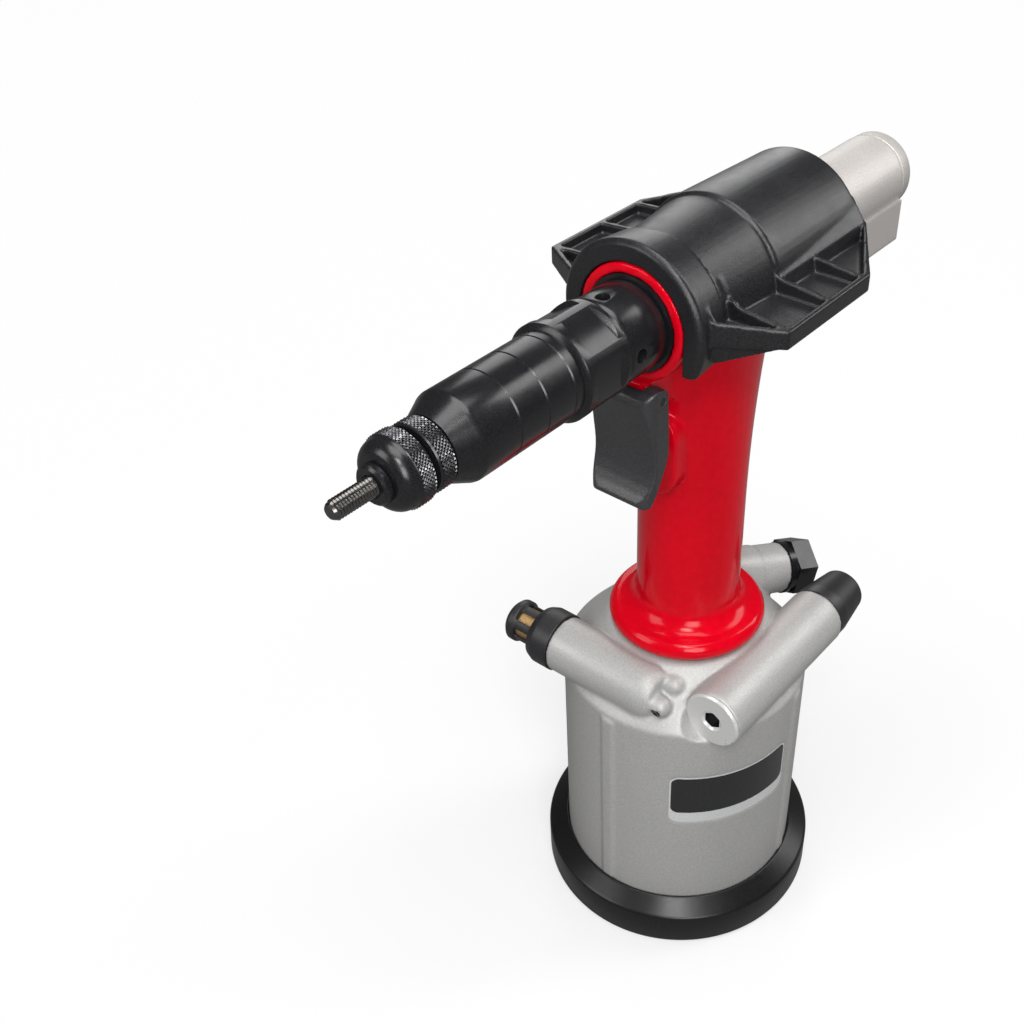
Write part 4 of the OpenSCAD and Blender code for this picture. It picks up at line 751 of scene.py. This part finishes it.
# %% [markdown]
# ## The threaded mandrel
# The thread is a six millimetre metric one with a pitch of one millimetre. A small
# diamond-shaped outline is swept round and forward at once, which is what the Screw
# modifier does. A bump in the material could only shade a thread, and its outline would stay straight.

# %% Cut the thread
PITCH, RIDGE_MID_R, RIDGE_HALF, RIDGE_SQUEEZE = 1, 2.5, 0.5, 0.72
TIP_CHAMFER, HIDDEN_THREAD = 0.7, 9
mandrel_back, mandrel_tip = reach_of("mandrel")
thread_from, thread_to = anvil_front - HIDDEN_THREAD, mandrel_tip - TIP_CHAMFER
bpy.ops.object.select_all(action="DESELECT")
bpy.ops.mesh.primitive_circle_add(vertices=4, radius=RIDGE_HALF * MM, fill_type="NOTHING",
                                  location=(RIDGE_MID_R * MM, 0, 0), rotation=(math.radians(90), 0, 0),
                                  scale=(1, RIDGE_SQUEEZE, 1))
thread = bpy.context.object
thread.name = thread.data.name = "mandrel_thread"
bpy.ops.object.transform_apply(location=True, rotation=True, scale=True)
apply_modifier(thread, "SCREW", axis="Z", angle=math.radians(360), screw_offset=PITCH * MM, steps=32,
               render_steps=32, iterations=int((thread_to - thread_from) / PITCH), use_merge_vertices=True)
thread.rotation_euler = (0, math.radians(-90), 0)
thread.location = (-thread_from * MM, 0, AXIS_Z)
only(thread)
bpy.ops.object.transform_apply(location=True, rotation=True, scale=True)
print("thread with", len(thread.data.polygons), "faces")

# %% [markdown]
# ## The mandrel's core
# A plain turned core fills the middle of the thread, with a thick shank at the rear that the
# motor's shaft turns. The faces between the ridges are found by their distance from the axis
# and get a dark finish, which is painted shade in the roots of the thread.

# %% Turn the core and join the thread to it
SHANK_R, SHANK_LENGTH, CORE_R, ROOT_R = 5.9, 20, 2.4, 2.55
core = turn("mandrel_core", HEAD_AXIS, FORWARD,
            [(mandrel_back, 2.6), (mandrel_back, SHANK_R), (mandrel_back + SHANK_LENGTH, SHANK_R),
             (mandrel_back + SHANK_LENGTH, CORE_R), (thread_from, CORE_R), (thread_from + 0.4, 2.5),
             (mandrel_tip - TIP_CHAMFER, ROOT_R), (mandrel_tip, ROOT_R - 0.5)], vertices=48)
only(core)
thread.select_set(True)
bpy.ops.object.join()
bpy.ops.object.mode_set(mode="EDIT")
bpy.ops.mesh.select_all(action="SELECT")
bpy.ops.mesh.normals_make_consistent(inside=False)
bpy.ops.object.mode_set(mode="OBJECT")
core.name = "threaded_mandrel"
shade_by_angle(core)
dress(core, "mandrel", mandrel_steel, "mandrel")
# Painted shade: the faces in the thread's roots take the dark black steel finish.
core.data.materials.append(black_oxide)
for face in core.data.polygons:
    off = math.hypot(face.center.y, face.center.z - AXIS_Z) / MM
    if thread_from + 0.5 < -face.center.x / MM < thread_to - 0.1 and off < ROOT_R + 0.05:
        face.material_index = 1

# %% [markdown]
# ## The motor's end cap
# A shallow turned cap closes the air motor. Its rim is rounded and a faint step shows where it meets
# the housing. A bevel would round both edges alike, so the rim is drawn in the outline
# with a few points, and the step stays crisp.

# %% Turn the end cap
CAP_R, CAP_SPIGOT_R, CAP_LENGTH = 14.9, 13.35, 7.5
cap_front, cap_back = (corner.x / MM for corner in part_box("motor_end_cap"))
cap_step = cap_back - CAP_LENGTH
cap = turn("motor_cap", HEAD_AXIS, (1, 0, 0),
           [(cap_front, CAP_SPIGOT_R), (cap_step, CAP_SPIGOT_R), (cap_step, CAP_R - 0.4),
            (cap_step + 0.4, CAP_R), (cap_back - 2.0, CAP_R - 0.2), (cap_back - 0.9, CAP_R - 0.7),
            (cap_back - 0.25, CAP_R - 1.6), (cap_back, CAP_R - 2.7), (cap_back, 4.0), (cap_back - 0.3, 3.6)],
           vertices=128)
dress(cap, "motor_end_cap", motor_cast)

# %% [markdown]
# ## Coil springs
# A coil spring sits behind the trigger's plunger and another behind the traction piston. One end of
# each stands still and the other moves. Each is a copy of its solid, shaded smooth, finished in
# ground steel, given its own mesh and hung on the tool's body; it does not shorten here.


def live_spring(name, node):
    piece = merged_copy(name, node)
    shade_by_angle(piece)
    dress(piece, node, ground_steel)
    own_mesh(piece)


live_spring("plunger_coil", "trigger_spring")
live_spring("piston_coil", "return_spring")

# %% [markdown]
# ## A bare label
# The cylinder has a shallow recess with round corners for a label. It carries a plain silver
# sheet with a black field and no writing. Each sheet is a strip of the cylinder's own curve,
# trimmed by a block with round corners, as a punch would trim it.

# %% Lay the label in its recess
LABEL_MID = math.radians(-119)
SHEET_THICK, DRUM_MID, DRUM_HEIGHT = 0.15, 82, 40
PUNCH_OUT, PUNCH_DEPTH = 45, 40
label_out = Vector((math.cos(LABEL_MID), math.sin(LABEL_MID), 0))


def label_sheet(name, radius, z_from, z_to, half, corner, material):
    bpy.ops.object.select_all(action="DESELECT")
    bpy.ops.mesh.primitive_cylinder_add(vertices=240, radius=radius * MM, depth=DRUM_HEIGHT * MM,
                                        end_fill_type="NOTHING", location=(0, 0, DRUM_MID * MM))
    sheet = bpy.context.object
    sheet.name = sheet.data.name = name
    bpy.ops.object.transform_apply(location=True, rotation=True, scale=True)
    apply_modifier(sheet, "SOLIDIFY", thickness=SHEET_THICK * MM, offset=1)
    punch = add_block(label_out * PUNCH_OUT * MM + Vector((0, 0, (z_from + z_to) / 2 * MM)),
                      (PUNCH_DEPTH, 2 * half, z_to - z_from), rotation=(0, 0, LABEL_MID))
    for edge in punch.data.edges:
        one, two = (punch.data.vertices[end].co for end in edge.vertices)
        edge.select = abs((two - one).normalized().dot(label_out)) > 0.99
    bpy.ops.object.mode_set(mode="EDIT")
    bpy.ops.mesh.select_mode(type="EDGE")
    bpy.ops.mesh.bevel(offset=corner * MM, segments=10)
    bpy.ops.object.mode_set(mode="OBJECT")
    cut(sheet, punch, operation="INTERSECT")
    shade_by_angle(sheet)
    sheet.data.materials.append(material)
    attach(sheet, "tool")
    print(name, len(sheet.data.polygons), "faces")


label_sheet("label_plate", 49.0, 68.3, 94.7, 25.8, 3.8, label_silver)
label_sheet("label_field", 49.1, 74.0, 93.9, 25.0, 3.0, label_black)
